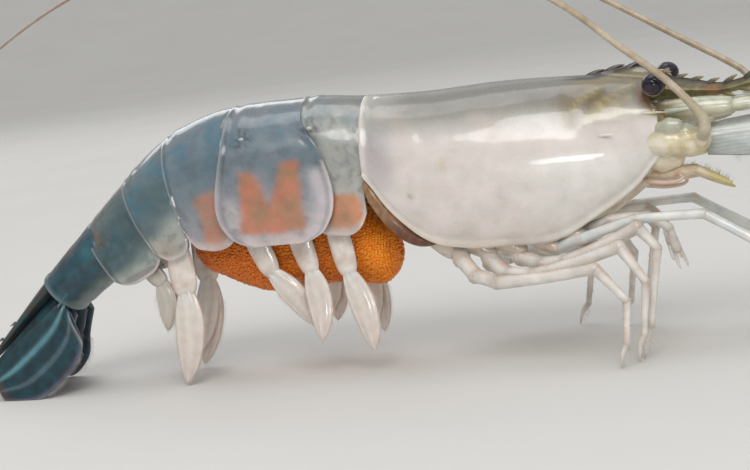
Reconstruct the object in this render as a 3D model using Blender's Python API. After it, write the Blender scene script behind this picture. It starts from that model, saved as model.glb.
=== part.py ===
"""Giant river prawn, a berried female, as a still life-size model.

She stands on the tips of her walking legs and on her tail fan. Lengths are in millimetres until
add_node turns them to metres. X runs forward along the body, Y to its left and Z up. The floor is
Z = 0, and X = 0 is the rear rim of the carapace, until centre_on_floor moves the whole model.
"""
import math

import bmesh
import bpy
from mathutils import Vector

MM = 0.001
GAP = 0.3
FRONT_X = 62.5
BACK_Z = 59.2
SHELL = 0.85

# Where the carapace and the sternum are cut into cross-sections
SHELL_STATIONS = (0, 1.5, 4, 8, 12.5, 17, 22, 28, 34, 40, 44, 48, 52, 56, 59, 61.2, FRONT_X)

# Carapace outlines as (x, value): back, level and half width of the widest line, lower margin
BACK_LINE = ((0, BACK_Z), (14, 58.7), (30, 59.0), (46, 58.3), (55, 57.4), (FRONT_X, 56.2))
WIDE_LEVEL = ((0, 45.5), (12, 42.5), (32, 41.5), (50, 43.5), (FRONT_X, 46.5))
HALF_WIDTH = ((0, 13.3), (8, 14.4), (20, 15.2), (33, 15.1), (45, 13.7), (55, 11.8), (FRONT_X, 9.6))
MARGIN = ((0, 43.0), (5.6, 34.3), (12.5, 27.8), (20, 25.5), (30, 24.9), (39.5, 25.2), (48, 29.2),
          (56.5, 34.4), (FRONT_X, 40.6))
MARGIN_HALF = ((0, 13.1), (6, 12.9), (12, 12.0), (20, 11.1), (35, 10.3), (45, 9.7), (55, 8.7),
               (FRONT_X, 7.8))
BELLY_RISE = 4.0
LIP = 1.2
STERNUM_LOW = ((0.6, 34.6), (8, 29.4), (14, 26.4), (42, 26.4), (50, 28.6), (55, 31.6), (59, 34.4))
STERNUM_FRONT = SHELL_STATIONS[-3]
KEEL_SHARE = 0.55
KEEL_LINE = ((45, 57.6), (51, 58.6), (56, 59.2), (60, 59.0), (FRONT_X, 57.7))
KEEL_HALF = 1.5
KEEL_DEPTH = 3.0
CREST_TEETH = (49.5, 53.6, 58.0)
EYE_RADIUS = 2.4
# Centre of each eye, and (x, z) of its stalk's root in the orbit
EYE_PLACES = {"right": ((62.5, 9.6, 55.3), (61.6, 53.8)), "left": ((64.2, 9.4, 56.2), (61.8, 53.8))}
ORBIT_CENTRE = Vector((64.6, 9.5, 57.4))
ORBIT_RADII = Vector((6.6, 6.3, 7.9))

# Rostrum as (x, z) of its upper and lower edges, with its teeth by place
ROSTRUM_TOP = ((62.8, 57.4), (66, 55.9), (70, 54.9), (75, 53.6), (80, 54.1), (90, 56.8), (101, 61.2),
               (112, 66.4))
ROSTRUM_LOW = ((62.8, 51.3), (67, 51.0), (71, 50.9), (75, 51.0), (80, 51.7), (90, 54.4), (101, 59.3),
               (112, 65.9))
ROSTRUM_HALF = ((62.8, 2.5), (67, 1.8), (74, 1.2), (90, 0.8), (112, 0.35))
UPPER_TEETH = (63.4, 66.8, 70.0, 73.2, 76.8, 81.2, 87.0, 104.5, 107.5)
LOWER_TEETH = (76.0, 79.5, 83.0, 86.5, 90.0, 93.7, 97.5, 101.5, 105.5)
TOOTH_REACH = 2.3
TOOTH_HALF = 0.6

# Tail: the back's fall, and the lean of each cross-section, by the distance along the back
TAIL_BEND = math.radians(42)
BEND_START = 20.5
BEND_END = 62.0
HUMP = 1.1
HUMP_LENGTH = 10.0
LEAN = ((0, 0), (20, -1), (30, -2), (38, 1), (48, 14), (55, 21), (61.5, 28), (74.5, 34), (91, 42))
TAIL_END = 91.0
ROUND_DEPTH = 13.0

# Segments: start and end along the back, half width, pleuron depth front and rear, belly depth
SEGMENTS = {
    "abdomen_1": (0.0, 12.9, 11.6, 29.0, 29.5, 17.0),
    "abdomen_2": (12.9, 29.2, 13.0, 30.0, 30.0, 17.0),
    "abdomen_3": (29.2, 46.2, 11.7, 32.0, 24.8, 16.5),
    "abdomen_4": (46.2, 60.0, 11.4, 26.0, 21.6, 14.0),
    "abdomen_5": (60.0, 74.0, 10.3, 21.6, 18.2, 12.0),
}
LAST_SEGMENT = (74.0, TAIL_END)
LAST_DEPTH = (13.6, 11.2)
LAST_HALF = (9.0, 7.0)
PLEURON_TUCK = 0.03
LEFT_FAN_FOLD = 7.0

# Second pleuron as (depth, front reach, rear reach) along the back, outer face half width
SECOND_PLEURON = ((6.5, 11.2, 30.0), (13, 7.9, 31.6), (19, 6.7, 33.0), (24, 7.2, 32.9),
                  (28, 9.6, 30.6), (30.2, 14.0, 26.0))
SECOND_HALF = 13.7
SECOND_SHELL = 1.25

# Egg mass as (x, value): top, bottom and half width
EGG_TOP = ((-43, 31.5), (-38, 34.5), (-30, 40.5), (-12, 41.5), (-5, 39.5), (-1, 32.4), (2.2, 30.6), (3.4, 28.4))
EGG_LOW = ((-43, 28.0), (-37, 22.2), (-26, 17.8), (-14, 18.8), (-5, 17.9), (-1, 17.8), (2.2, 19.6), (3.4, 22.6))
EGG_HALF = ((-43, 2.5), (-38, 6.4), (-28, 7.9), (-8, 8.05), (-1, 7.9), (2.2, 6.4), (3.4, 4.0))

# Walking legs, right side: joints after the root, from the coxa's end to the tip of the dactylus
LEG_ROOTS = {1: 43.5, 2: 36.2, 3: 28.6, 4: 22.2, 5: 16.2}
LEG_JOINTS = {
    1: ((46.2, 5.7, 26.2), (50.5, 7.4, 28.0), (58.4, 8.6, 28.2), (62.4, 6.4, 25.0), (63.4, 5.9, 20.6)),
    2: ((38.6, 6.9, 23.2), (44.2, 9.9, 24.8), (56.0, 11.6, 28.2), (70.2, 13.4, 28.3),
        (95.0, 17.0, 12.5), (110.0, 18.6, 8.2)),
    3: ((31.2, 8.2, 21.8), (38.0, 10.6, 19.5), (56.6, 15.0, 27.0), (60.3, 15.4, 22.4),
        (57.4, 15.8, 6.4), (55.6, 16.0, 0.0)),
    4: ((24.8, 9.2, 21.4), (30.6, 13.2, 18.0), (52.9, 18.4, 23.9), (57.6, 19.4, 16.4),
        (56.2, 20.0, 5.6), (54.8, 20.2, 0.0)),
    5: ((18.6, 9.9, 22.8), (23.6, 15.2, 18.0), (47.9, 22.0, 20.4), (53.8, 23.4, 13.6),
        (53.0, 24.3, 4.8), (51.6, 24.5, 0.0)),
}
LEG_RADII = {
    1: (1.5, 1.3, 1.1, 0.95, 0.95, 1.0),
    2: (1.7, 1.4, 1.05, 1.0, 1.05, 1.6, 1.9),
    3: (1.7, 1.5, 1.4, 1.3, 0.95, 0.7, 0.42),
    4: (1.7, 1.5, 1.35, 1.2, 0.9, 0.68, 0.42),
    5: (1.7, 1.45, 1.3, 1.1, 0.85, 0.65, 0.42),
}
# How far the left leg's joints stand behind the right leg's, from its coxa to its tip
LEFT_SHIFT = {1: (0, -0.5, -1.5, -2.0, -2.0), 2: (0, -1.0, -2.0, -3.5, -5.0, -6.0),
              3: (0, -0.5, -2.0, -2.5, -3.0, -3.0), 4: (0, -1.5, -5.0, -5.5, -6.0, -6.5),
              5: (0, -2.0, -8.0, -12.0, -13.0, -14.0)}
FINGER_LENGTH = {1: 5.0, 2: 21.0}
FINGER_SPREAD = math.radians(9)
LIMB_SIDES = 8

# Swimming legs, right side: root, knee and tip as (x, z), their y, and how far the tip stands out
PLEOPODS = {
    1: ((-9.6, 42.0), (-6.4, 21.2), (-2.6, 5.0), 9.1, 1.4),
    2: ((-19.6, 42.5), (-14.6, 22.4), (-13.6, 8.2), 9.1, 2.5),
    3: ((-30.4, 41.6), (-23.4, 22.8), (-15.4, 10.6), 9.1, -1.7),
    4: ((-45.2, 34.5), (-44.0, 20.0), (-46.4, 0.8), 9.0, 0.8),
    5: ((-55.4, 30.0), (-49.4, 23.0), (-50.0, 12.6), 7.6, 0.4),
}
PEDUNCLE_HALF = 2.6
PLEOPOD_SIZE = {1: 1.0, 2: 1.0, 3: 1.0, 4: 1.18, 5: 0.82}
PEDUNCLE_THICK = 0.8
BLADE_HALF = (1.3, 2.5, 2.9, 2.3, 0.5)
BLADE_THICK = (0.8, 0.75, 0.65, 0.55, 0.35)
INNER_BLADE = 0.86

# Antennal flagella past their first bend as points with y outwards, and their radius by share
NEAR_FLAGELLUM = ((71.8, 13.4, 47.8), (69.2, 13.6, 51.7), (64.4, 13.9, 57.2), (57.0, 14.4, 63.9),
                  (45.0, 15.4, 74.7), (23, 17.5, 89), (-4, 20.5, 100), (-34, 24.5, 105),
                  (-64, 29, 103), (-94, 34, 93), (-119, 38, 79), (-136, 41, 64))
FAR_FLAGELLUM = ((76.0, 14.6, 46.2), (80.0, 15.4, 49.4), (80.6, 16.0, 53.4),
                 (76.4, 16.8, 57.0), (67.0, 18.0, 63.0), (51.6, 20.0, 73.0), (30, 23.0, 86),
                 (4, 26.5, 95.5), (-26, 30.5, 99), (-56, 34.5, 96), (-86, 38, 87), (-112, 40, 73),
                 (-130, 41, 57))
FLAGELLUM_RADII = (0.85, 0.62, 0.45, 0.28)
FLAGELLUM_LENGTHS = 3
FLAGELLUM_STATIONS = 17


def smooth(share):
    """Rises from 0 to 1 without a kink at either end."""
    share = min(max(share, 0.0), 1.0)
    return share * share * (3.0 - 2.0 * share)


def along(points, x):
    """Value at x on a smooth line through (x, value) points, level beyond its ends."""
    if x <= points[0][0]:
        return points[0][1]
    if x >= points[-1][0]:
        return points[-1][1]
    last = len(points) - 1
    k = max(i for i in range(last) if points[i][0] <= x)

    def slope(i):
        low, high = max(i - 1, 0), min(i + 1, last)
        return (points[high][1] - points[low][1]) / (points[high][0] - points[low][0])

    step = points[k + 1][0] - points[k][0]
    t = (x - points[k][0]) / step
    return (points[k][1] * (1 + 2 * t) * (1 - t) ** 2 + slope(k) * step * t * (1 - t) ** 2
            + points[k + 1][1] * (3 - 2 * t) * t ** 2 + slope(k + 1) * step * (t - 1) * t ** 2)


def spread(points):
    """Pairs each point with its share of the way along the list."""
    return [(k / (len(points) - 1), point) for k, point in enumerate(points)]


def curve(points, count):
    """Evenly numbered stations on a smooth curve through points in space."""
    axes = [[(share, point[axis]) for share, point in spread(points)] for axis in range(3)]
    return [Vector([along(axis, k / (count - 1)) for axis in axes]) for k in range(count)]


def loft(rings):
    """Closed mesh through rings of points, each with the same count, with both ends shut."""
    mesh = bmesh.new()
    rows = [[mesh.verts.new(point) for point in ring] for ring in rings]
    count = len(rows[0])
    for near, far in zip(rows, rows[1:]):
        for k in range(count):
            after = (k + 1) % count
            mesh.faces.new((near[k], near[after], far[after]))
            mesh.faces.new((near[k], far[after], far[k]))
    caps = [mesh.faces.new(rows[0]), mesh.faces.new(rows[-1])]
    bmesh.ops.triangulate(mesh, faces=caps, ngon_method="EAR_CLIP")
    bmesh.ops.recalc_face_normals(mesh, faces=mesh.faces)
    return mesh


def sweep(path, widths, heights, side, sides=LIMB_SIDES, flat_tip=False):
    """Closed mesh of ellipses along a path, carried along it without twist."""
    count = len(path)
    tangents = [(path[min(k + 1, count - 1)] - path[max(k - 1, 0)]).normalized() for k in range(count)]
    across = (side - tangents[0] * side.dot(tangents[0])).normalized()
    rings = []
    for k, (centre, tangent) in enumerate(zip(path, tangents)):
        if k:
            across = tangents[k - 1].rotation_difference(tangent) @ across
        upright = tangent.cross(across)
        ring = []
        for n in range(sides):
            angle = 2 * math.pi * (n + 0.5) / sides
            ring.append(centre + across * (widths[k] * math.cos(angle))
                        + upright * (heights[k] * math.sin(angle)))
        rings.append(ring)
    if flat_tip:
        rings[-1] = [Vector((point.x, point.y, path[-1].z)) for point in rings[-1]]
    return loft(rings)


def blade(first_edge, second_edge, thickness, edge_thickness, count):
    """Thin leaf between two edges, thickest along its middle, with half thicknesses given."""
    first, second = curve(first_edge, count), curve(second_edge, count)
    rings = []
    for k in range(count):
        low, high = max(k - 1, 0), min(k + 1, count - 1)
        run = (first[high] + second[high]) - (first[low] + second[low])
        across = second[k] - first[k]
        normal = run.cross(across).normalized()
        swell = along(spread(thickness), k / (count - 1))
        upper = [first[k].lerp(second[k], share) + normal * half for share, half in
                 ((0, edge_thickness), (0.3, swell), (0.7, swell), (1, edge_thickness))]
        lower = [first[k].lerp(second[k], share) - normal * half for share, half in
                 ((1, edge_thickness), (0.7, swell), (0.3, swell), (0, edge_thickness))]
        rings.append(upper + lower)
    return loft(rings)


def tooth(root, tip, half):
    """Four-sided spine from a root, sunk in what carries it, to a tip."""
    return sweep([root, tip], (half, half * 0.15), (half * 1.3, half * 0.15), Vector((0, 1, 0)), sides=4)


def mirrored(point, left):
    """Right-hand point, given with y outwards, on the side asked for."""
    return Vector((point[0], point[1] if left else -point[1], point[2]))


def material(name, colour, roughness):
    """Principled material of one part."""
    found = bpy.data.materials.get(name)
    if found:
        return found
    made = bpy.data.materials.new(name)
    made.use_nodes = True
    shader = made.node_tree.nodes["Principled BSDF"]
    shader.inputs["Base Color"].default_value = (*colour, 1.0)
    shader.inputs["Roughness"].default_value = roughness
    shader.inputs["Metallic"].default_value = 0.0
    return made


SHELL_CREAM = ("cream carapace shell", (0.62, 0.58, 0.53), 0.25)
SHELL_BLUE = ("blue-grey abdomen shell", (0.30, 0.38, 0.40), 0.25)
SHELL_TEAL = ("dark teal tail shell", (0.05, 0.16, 0.18), 0.3)
LIMB_CREAM = ("cream limb shell", (0.70, 0.65, 0.56), 0.3)
FEELER_BEIGE = ("beige feeler", (0.52, 0.44, 0.36), 0.45)
ROSTRUM_OLIVE = ("olive rostrum shell", (0.25, 0.22, 0.12), 0.35)
EYE_DARK = ("dark eye", (0.02, 0.012, 0.025), 0.15)
EGG_ORANGE = ("orange eggs", (0.60, 0.20, 0.02), 0.4)


def mesh_object(name, mesh):
    """Object of a bmesh in metres, linked to the scene."""
    data = bpy.data.meshes.new(name)
    bmesh.ops.scale(mesh, vec=(MM, MM, MM), verts=mesh.verts)
    mesh.to_mesh(data)
    mesh.free()
    made = bpy.data.objects.new(name, data)
    bpy.context.scene.collection.objects.link(made)
    return made


def largest_surface(mesh):
    """Keeps only the closed surface with the most faces."""
    left = set(mesh.faces)
    islands = []
    while left:
        stack = [left.pop()]
        island = set(stack)
        while stack:
            for edge in stack.pop().edges:
                for face in edge.link_faces:
                    if face in left:
                        left.remove(face)
                        island.add(face)
                        stack.append(face)
        islands.append(island)
    keep = max(islands, key=len)
    loose = [face for face in mesh.faces if face not in keep]
    bmesh.ops.delete(mesh, geom=loose, context="FACES")


def combine(body, tools, operation):
    """Applies one Boolean of the body with a collection of closed meshes, then removes them."""
    group = bpy.data.collections.new(body.name + " tools")
    bpy.context.scene.collection.children.link(group)
    pieces = []
    for tool in tools:
        piece = mesh_object(body.name + " tool", tool)
        bpy.context.scene.collection.objects.unlink(piece)
        group.objects.link(piece)
        pieces.append(piece)
    modifier = body.modifiers.new("join", "BOOLEAN")
    modifier.operation = operation
    modifier.operand_type = "COLLECTION"
    modifier.collection = group
    modifier.solver = "EXACT"
    bpy.context.view_layer.update()
    result = bpy.data.meshes.new_from_object(body.evaluated_get(bpy.context.evaluated_depsgraph_get()))
    body.modifiers.remove(modifier)
    body.data = result
    for piece in pieces:
        bpy.data.objects.remove(piece)
    bpy.data.collections.remove(group)


def add_node(name, mesh, finish, joined=(), cut=()):
    """Named sub-part from a closed mesh, with others joined to it or cut from it."""
    made = mesh_object(name, mesh)
    if joined:
        combine(made, joined, "UNION")
    if cut:
        combine(made, cut, "DIFFERENCE")
    tidy = bmesh.new()
    tidy.from_mesh(made.data)
    bmesh.ops.triangulate(tidy, faces=tidy.faces)
    if joined or cut:
        largest_surface(tidy)
    tidy.to_mesh(made.data)
    tidy.free()
    made.data.materials.clear()
    made.data.materials.append(material(*finish))
    made.data.shade_smooth()
    made.data.set_sharp_from_angle(angle=math.radians(45))
    return made


def carapace_ring(x):
    """Cross-section of the carapace: vaulted back, flanks, rolled lips and the flat belly."""
    top, wide, low = along(BACK_LINE, x), along(WIDE_LEVEL, x), along(MARGIN, x)
    half, low_half = along(HALF_WIDTH, x), along(MARGIN_HALF, x)
    side = []
    for k in range(1, 6):
        angle = math.radians(90) * k / 5
        side.append((half * math.sin(angle), wide + (top - wide) * math.cos(angle)))
    for k in range(1, 5):
        angle = math.radians(90) * k / 4
        side.append((low_half + (half - low_half) * math.cos(angle),
                     wide - (wide - low) * math.sin(angle)))
    side.append((low_half - LIP, low + 0.2))
    side.append((low_half - 2 * LIP, low + BELLY_RISE))
    ring = [Vector((x, 0, top))] + [Vector((x, -y, z)) for y, z in side]
    ring.append(Vector((x, 0, low + BELLY_RISE)))
    return ring + [Vector((x, y, z)) for y, z in reversed(side)]


def ellipsoid(centre, radii, rings=12, sides=20):
    """Closed ball stretched along the axes."""
    mesh = bmesh.new()
    bmesh.ops.create_uvsphere(mesh, u_segments=sides, v_segments=rings, radius=1.0)
    bmesh.ops.scale(mesh, vec=radii, verts=mesh.verts)
    bmesh.ops.translate(mesh, vec=centre, verts=mesh.verts)
    return mesh


def build_carapace():
    """Vaulted shell with its keel, crest teeth, front spines and the two orbits."""
    shell = loft([carapace_ring(x) for x in SHELL_STATIONS])
    keel = []
    for x in (45, 48, 51, 54, 57, 60, FRONT_X - 0.05):
        turns = [math.radians(45) * (k + 0.5) for k in range(8)]
        keel.append([Vector((x, KEEL_HALF * math.sin(turn),
                             along(KEEL_LINE, x) - KEEL_DEPTH * (1 - math.cos(turn)))) for turn in turns])
    joined = [loft(keel)]
    for x in CREST_TEETH:
        top = along(KEEL_LINE, x)
        joined.append(tooth(Vector((x, 0, top - 1.4)), Vector((x + 2.4, 0, top + 0.9)), TOOTH_HALF + 0.2))
    for side in (-1, 1):
        spines = (((59.6, 9.8, 49.2), (65.2, 10.5, 49.3)), ((50.6, 11.6, 46.2), (54.6, 14.0, 46.4)))
        for root, tip in spines:
            joined.append(tooth(Vector((root[0], root[1] * side, root[2])),
                                Vector((tip[0], tip[1] * side, tip[2])), 0.9))
    orbits = [ellipsoid(Vector((ORBIT_CENTRE.x, ORBIT_CENTRE.y * side, ORBIT_CENTRE.z)), ORBIT_RADII)
              for side in (-1, 1)]
    add_node("carapace", shell, SHELL_CREAM, joined, orbits)


def build_rostrum():
    """Thin toothed blade, dipping before the eyes and rising to its tip."""
    xs = [62.8, 65, 67, 69, 71, 73, 75, 77.5, 80, 84, 88, 92, 96, 100, 104, 108, 112]
    rings = []
    for x in xs:
        top, low, half = along(ROSTRUM_TOP, x), along(ROSTRUM_LOW, x), along(ROSTRUM_HALF, x)
        waist = low + (top - low) * 0.45
        rings.append([Vector((x, y, z)) for y, z in
                      ((0, top), (half * 0.4, top - (top - waist) * 0.35), (half, waist),
                       (half * 0.5, low + (waist - low) * 0.3), (0, low),
                       (-half * 0.5, low + (waist - low) * 0.3), (-half, waist),
                       (-half * 0.4, top - (top - waist) * 0.35))])
    teeth = []
    for x in UPPER_TEETH:
        top = along(ROSTRUM_TOP, x)
        fall = along(ROSTRUM_TOP, x + TOOTH_REACH) - top
        teeth.append(tooth(Vector((x + 0.3, 0, top - 0.9)), Vector((x + TOOTH_REACH, 0, top + fall + 1.1)),
                           TOOTH_HALF))
    for x in LOWER_TEETH:
        low = along(ROSTRUM_LOW, x)
        rise = along(ROSTRUM_LOW, x + TOOTH_REACH) - low
        teeth.append(tooth(Vector((x, 0, low + 0.8)), Vector((x + TOOTH_REACH, 0, low + rise - 0.9)),
                           TOOTH_HALF * 0.9))
    add_node("rostrum", loft(rings), ROSTRUM_OLIVE, teeth)


def sternum_half(x):
    """Half width of the sternum, which broadens towards the last legs."""
    return along(((0.6, 8.6), (12, 7.0), (16, 5.6), (28, 4.7), (43, 3.9), (STERNUM_FRONT, 2.8)), x)


def sternum_section(x):
    """Half width of the sternum at x, and the heights of its top, its side edge and its keel."""
    top = along(MARGIN, x) + BELLY_RISE - GAP
    keel = min(along(MARGIN, x), along(STERNUM_LOW, x)) - 0.5
    return sternum_half(x), top, keel + 3.0 + (top - keel - 4.2) * 0.5, keel


def build_sternum():
    """Keel under the carapace that carries the legs, rising at its rear to the first segment."""
    rings = []
    for x in SHELL_STATIONS[1:-2]:
        half, top, edge, keel = sternum_section(x)
        rings.append([Vector((x, y, z)) for y, z in
                      ((0, top), (-half * 0.8, top), (-half, edge), (-half * KEEL_SHARE, keel),
                       (0, keel - 0.2), (half * KEEL_SHARE, keel), (half, edge), (half * 0.8, top))])
    add_node("sternum", loft(rings), LIMB_CREAM)


def build_head():
    """Block between the orbits and the mouth, from which the feelers spring."""
    start = FRONT_X + GAP
    path = [Vector((start, 0, 42.4)), Vector((start + 2.0, 0, 42.4)), Vector((start + 3.6, 0, 42.0))]
    add_node("head", sweep(path, (3.4, 3.2, 2.2), (4.1, 3.8, 2.6), Vector((0, 1, 0)), sides=12), LIMB_CREAM)


def orbit_wall(x, z):
    """Point and outward direction of the left orbit's inner wall at an x and z."""
    share = ((x - ORBIT_CENTRE.x) / ORBIT_RADII.x) ** 2 + ((z - ORBIT_CENTRE.z) / ORBIT_RADII.z) ** 2
    wall = Vector((x, ORBIT_CENTRE.y - ORBIT_RADII.y * math.sqrt(1 - share), z))
    inward = Vector([(wall[axis] - ORBIT_CENTRE[axis]) / ORBIT_RADII[axis] ** 2 for axis in range(3)])
    return wall, -inward.normalized()


def build_eyes():
    """Short stalks in the orbits, each with its round eye."""
    for left, name in ((False, "right"), (True, "left")):
        ahead, root_z = EYE_PLACES[name]
        wall, normal = orbit_wall(*root_z)
        root = wall + normal * (GAP + 0.15)
        centre = Vector(ahead)
        outward = (centre - root - normal).normalized()
        end = centre - outward * (EYE_RADIUS * 0.857 + GAP)
        stalk = [mirrored(point, left) for point in (root, root + normal * 0.8, end - outward * 0.6, end)]
        sizes = (1.15, 1.2, 1.3, 1.5)
        add_node("eyestalk_" + name, sweep(stalk, sizes, sizes, Vector((1, 0, 0))), LIMB_CREAM)
        shares = (-0.857, -0.6, -0.25, 0.15, 0.5, 0.78, 0.94, 0.995)
        path = [mirrored(centre + outward * (EYE_RADIUS * share), left) for share in shares]
        sizes = [EYE_RADIUS * math.sqrt(1 - share * share) for share in shares]
        add_node("eye_" + name, sweep(path, sizes, sizes, Vector((1, 0, 0)), sides=12), EYE_DARK)


def build_antennules():
    """First feelers: a flattened three-part stem with two long and one short whip."""
    whips = (((86, 4.6, 49.6), (100, 8, 54), (116, 14, 62), (132, 22, 74)),
             ((86, 2.6, 49.2), (100, 4, 51), (118, 8, 54), (138, 12, 55)),
             ((86, 4.9, 48.2), (96, 8.5, 49.5), (106, 13, 52)))
    for left, name in ((False, "right"), (True, "left")):
        start = FRONT_X + GAP
        stem = [mirrored(point, left) for point in
                ((start, 3.3, 49.0), (66, 3.4, 49.0), (72, 3.8, 48.8), (77, 3.9, 48.9), (78.4, 3.8, 48.9),
                 (80, 3.8, 49.0), (84, 3.7, 49.2), (87.2, 3.7, 49.3))]
        widths = (1.6, 2.0, 2.3, 2.3, 1.9, 1.8, 1.7, 1.5)
        heights = (1.6, 1.9, 2.0, 1.8, 1.5, 1.5, 1.5, 1.3)
        joined = []
        for whip in whips:
            path = curve([mirrored(point, left) for point in whip], 9)
            sizes = [along(spread((0.6, 0.45, 0.25)), share) for share, _ in spread(path)]
            joined.append(sweep(path, sizes, sizes, Vector((0, 0, 1)), sides=6))
        add_node("antennule_" + name, sweep(stem, widths, heights, Vector((0, 1, 0)), sides=10),
                 FEELER_BEIGE, joined)


def build_antennae():
    """Second feelers: a stout base, a leaf-like scale, and a long whip in three lengths."""
    for left, name in ((False, "right"), (True, "left")):
        start = FRONT_X + GAP
        base = [mirrored(point, left) for point in
                ((start, 7.6, 42.6), (66, 7.7, 42.6), (69.4, 8.2, 42.5), (71.8, 8.6, 42.4))]
        knuckle = [mirrored(point, left) for point in ((70.0, 8.4, 42.6), (71.1, 11.2, 43.0), (71.6, 12.4, 44.2))]
        add_node("antenna_" + name,
                 sweep(base, (2.9, 3.2, 3.2, 2.8), (3.1, 3.4, 3.4, 3.0), Vector((0, 1, 0)), sides=12),
                 LIMB_CREAM, [sweep(knuckle, (1.5, 1.4, 1.1), (1.5, 1.4, 1.1), Vector((1, 0, 0)))])
        outer = ((72.4, 10.4, 39.9), (82, 13.4, 39.4), (93, 15.6, 40.8), (101, 15.8, 42.6))
        inner = ((72.4, 6.3, 44.8), (80, 5.8, 45.6), (92, 6.2, 46.4), (102.4, 9.8, 46.2))
        add_node("antennal_scale_" + name,
                 blade([mirrored(point, left) for point in outer], [mirrored(point, left) for point in inner],
                       (1.1, 0.6, 0.5, 0.35), 0.28, 9), SHELL_BLUE)
        ahead = knuckle[2] - knuckle[1]
        first = [knuckle[2] + ahead.normalized() * (GAP + run) for run in (0.05, 1.7)]
        whip = first + [mirrored(point, left) for point in (FAR_FLAGELLUM if left else NEAR_FLAGELLUM)]
        total = FLAGELLUM_LENGTHS * (FLAGELLUM_STATIONS - 1)
        path = curve(whip, total + 1)
        sizes = [along(spread(FLAGELLUM_RADII), share) for share, _ in spread(path)]
        for part in range(FLAGELLUM_LENGTHS):
            low = part * (FLAGELLUM_STATIONS - 1)
            piece, radii = path[low:low + FLAGELLUM_STATIONS], sizes[low:low + FLAGELLUM_STATIONS]
            if part:
                piece[0] = piece[0] + (piece[1] - piece[0]).normalized() * GAP
            add_node(f"flagellum_{name}_{part + 1}", sweep(piece, radii, radii, Vector((0, 1, 0)), sides=6),
                     FEELER_BEIGE)


def build_maxillipeds():
    """Leg-like mouthparts reaching forward under the feelers."""
    for left, name in ((False, "right"), (True, "left")):
        drop = 2.4 if left else 0.0
        joints = [mirrored(point, left) for point in
                  ((STERNUM_FRONT + 0.9, 2.6, 36.4 - drop * 0.3), (63.4, 4.8, 36.3 - drop),
                   (69.0, 6.4, 36.9 - drop), (76.0, 6.2, 33.2 - drop))]
        path, sizes = jointed(joints, (1.3, 1.35, 1.0, 0.4))
        root = joints[0] - Vector((0.9 - GAP, 0, 0))
        add_node("maxilliped_" + name, sweep([root] + path, [1.2] + sizes, [1.2] + sizes,
                                             Vector((0, 0, 1))), LIMB_CREAM)


def jointed(joints, radii):
    """Path and radii of a limb, waisted a little within each of its articles."""
    path, sizes = [joints[0]], [radii[0]]
    for k, (start, end) in enumerate(zip(joints, joints[1:])):
        for share in (0.2, 0.8):
            path.append(start.lerp(end, share))
            sizes.append((radii[k] + (radii[k + 1] - radii[k]) * share) * 0.92)
        path.append(end)
        sizes.append(radii[k + 1])
    return path, sizes


def leg_root(pair):
    """Two points off the sternum's slanting side, where a leg of that pair springs square to it."""
    half, _, edge, keel = sternum_section(LEG_ROOTS[pair])
    slant = Vector((0, half * (1 - KEEL_SHARE), edge - keel))
    places = []
    for x in (LEG_ROOTS[pair] - 1.5, LEG_ROOTS[pair] + 1.5):
        half, _, edge, keel = sternum_section(x)
        places.append(Vector((x, half * (1 + KEEL_SHARE) / 2, (edge + keel) / 2)))
    outward = slant.cross(places[1] - places[0]).normalized()
    outward *= 1 if outward.y > 0 else -1
    middle = (places[0] + places[1]) / 2
    return middle + outward * (GAP + 0.1), middle + outward * 1.5


def build_legs():
    """Ten legs: two pairs end in pincers, three pairs stand on the floor."""
    for pair, joints in LEG_JOINTS.items():
        for left, name in ((False, "right"), (True, "left")):
            shifts = LEFT_SHIFT[pair] if left else (0,) * len(joints)
            root, shoulder = (mirrored(point, left) for point in leg_root(pair))
            points = [shoulder]
            points += [mirrored((x + shift, y, z), left) for (x, y, z), shift in zip(joints, shifts)]
            path, sizes = jointed(points, LEG_RADII[pair])
            path, sizes = [root] + path, [LEG_RADII[pair][0]] + sizes
            walking = pair not in FINGER_LENGTH
            limb = sweep(path, sizes, sizes, Vector((0, 0, 1)), flat_tip=walking)
            fingers = [] if walking else pincer(points, LEG_RADII[pair][-1], FINGER_LENGTH[pair])
            add_node(f"leg_{pair}_{name}", limb, LIMB_CREAM, fingers)


def pincer(points, palm, length):
    """Two fingers beyond a palm, the movable one set a little open."""
    ahead = (points[-1] - points[-2]).normalized()
    lift = ahead.cross(Vector((0, 1, 0))).normalized()
    fingers = []
    for sense in (-1, 1):
        turn = FINGER_SPREAD * (1.0 if sense > 0 else 0.35)
        aim = ahead * math.cos(turn) + lift * (sense * math.sin(turn))
        root = points[-1] - ahead * palm * 0.6 + lift * (sense * palm * 0.48)
        path = [root, root + aim * length * 0.35, root + aim * length * 0.75,
                root + aim * length - lift * (sense * palm * 0.2)]
        sizes = (palm * 0.46, palm * 0.42, palm * 0.3, palm * 0.1)
        fingers.append(sweep(path, sizes, sizes, Vector((0, 1, 0)), sides=6))
    return fingers


def back_point(distance):
    """Point of the back's middle line at a distance behind the carapace, with its fall there."""
    step = 0.25
    x, z, travelled = 0.0, BACK_Z, 0.0
    while travelled < distance:
        stride = min(step, distance - travelled)
        fall = TAIL_BEND * smooth((travelled + stride / 2 - BEND_START) / (BEND_END - BEND_START))
        x -= math.cos(fall) * stride
        z -= math.sin(fall) * stride
        travelled += stride
    fall = TAIL_BEND * smooth((distance - BEND_START) / (BEND_END - BEND_START))
    hump = HUMP * smooth(distance / HUMP_LENGTH)
    return Vector((x - math.sin(fall) * hump, 0, z + math.cos(fall) * hump)), fall


def section_point(distance, depth, y):
    """Point at a depth down a leaning cross-section of the tail, at a distance along its back."""
    lean = math.radians(along(LEAN, distance))
    point = back_point(distance)[0] + Vector((math.sin(lean), 0, -math.cos(lean))) * depth
    point.y = y
    return point


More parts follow.
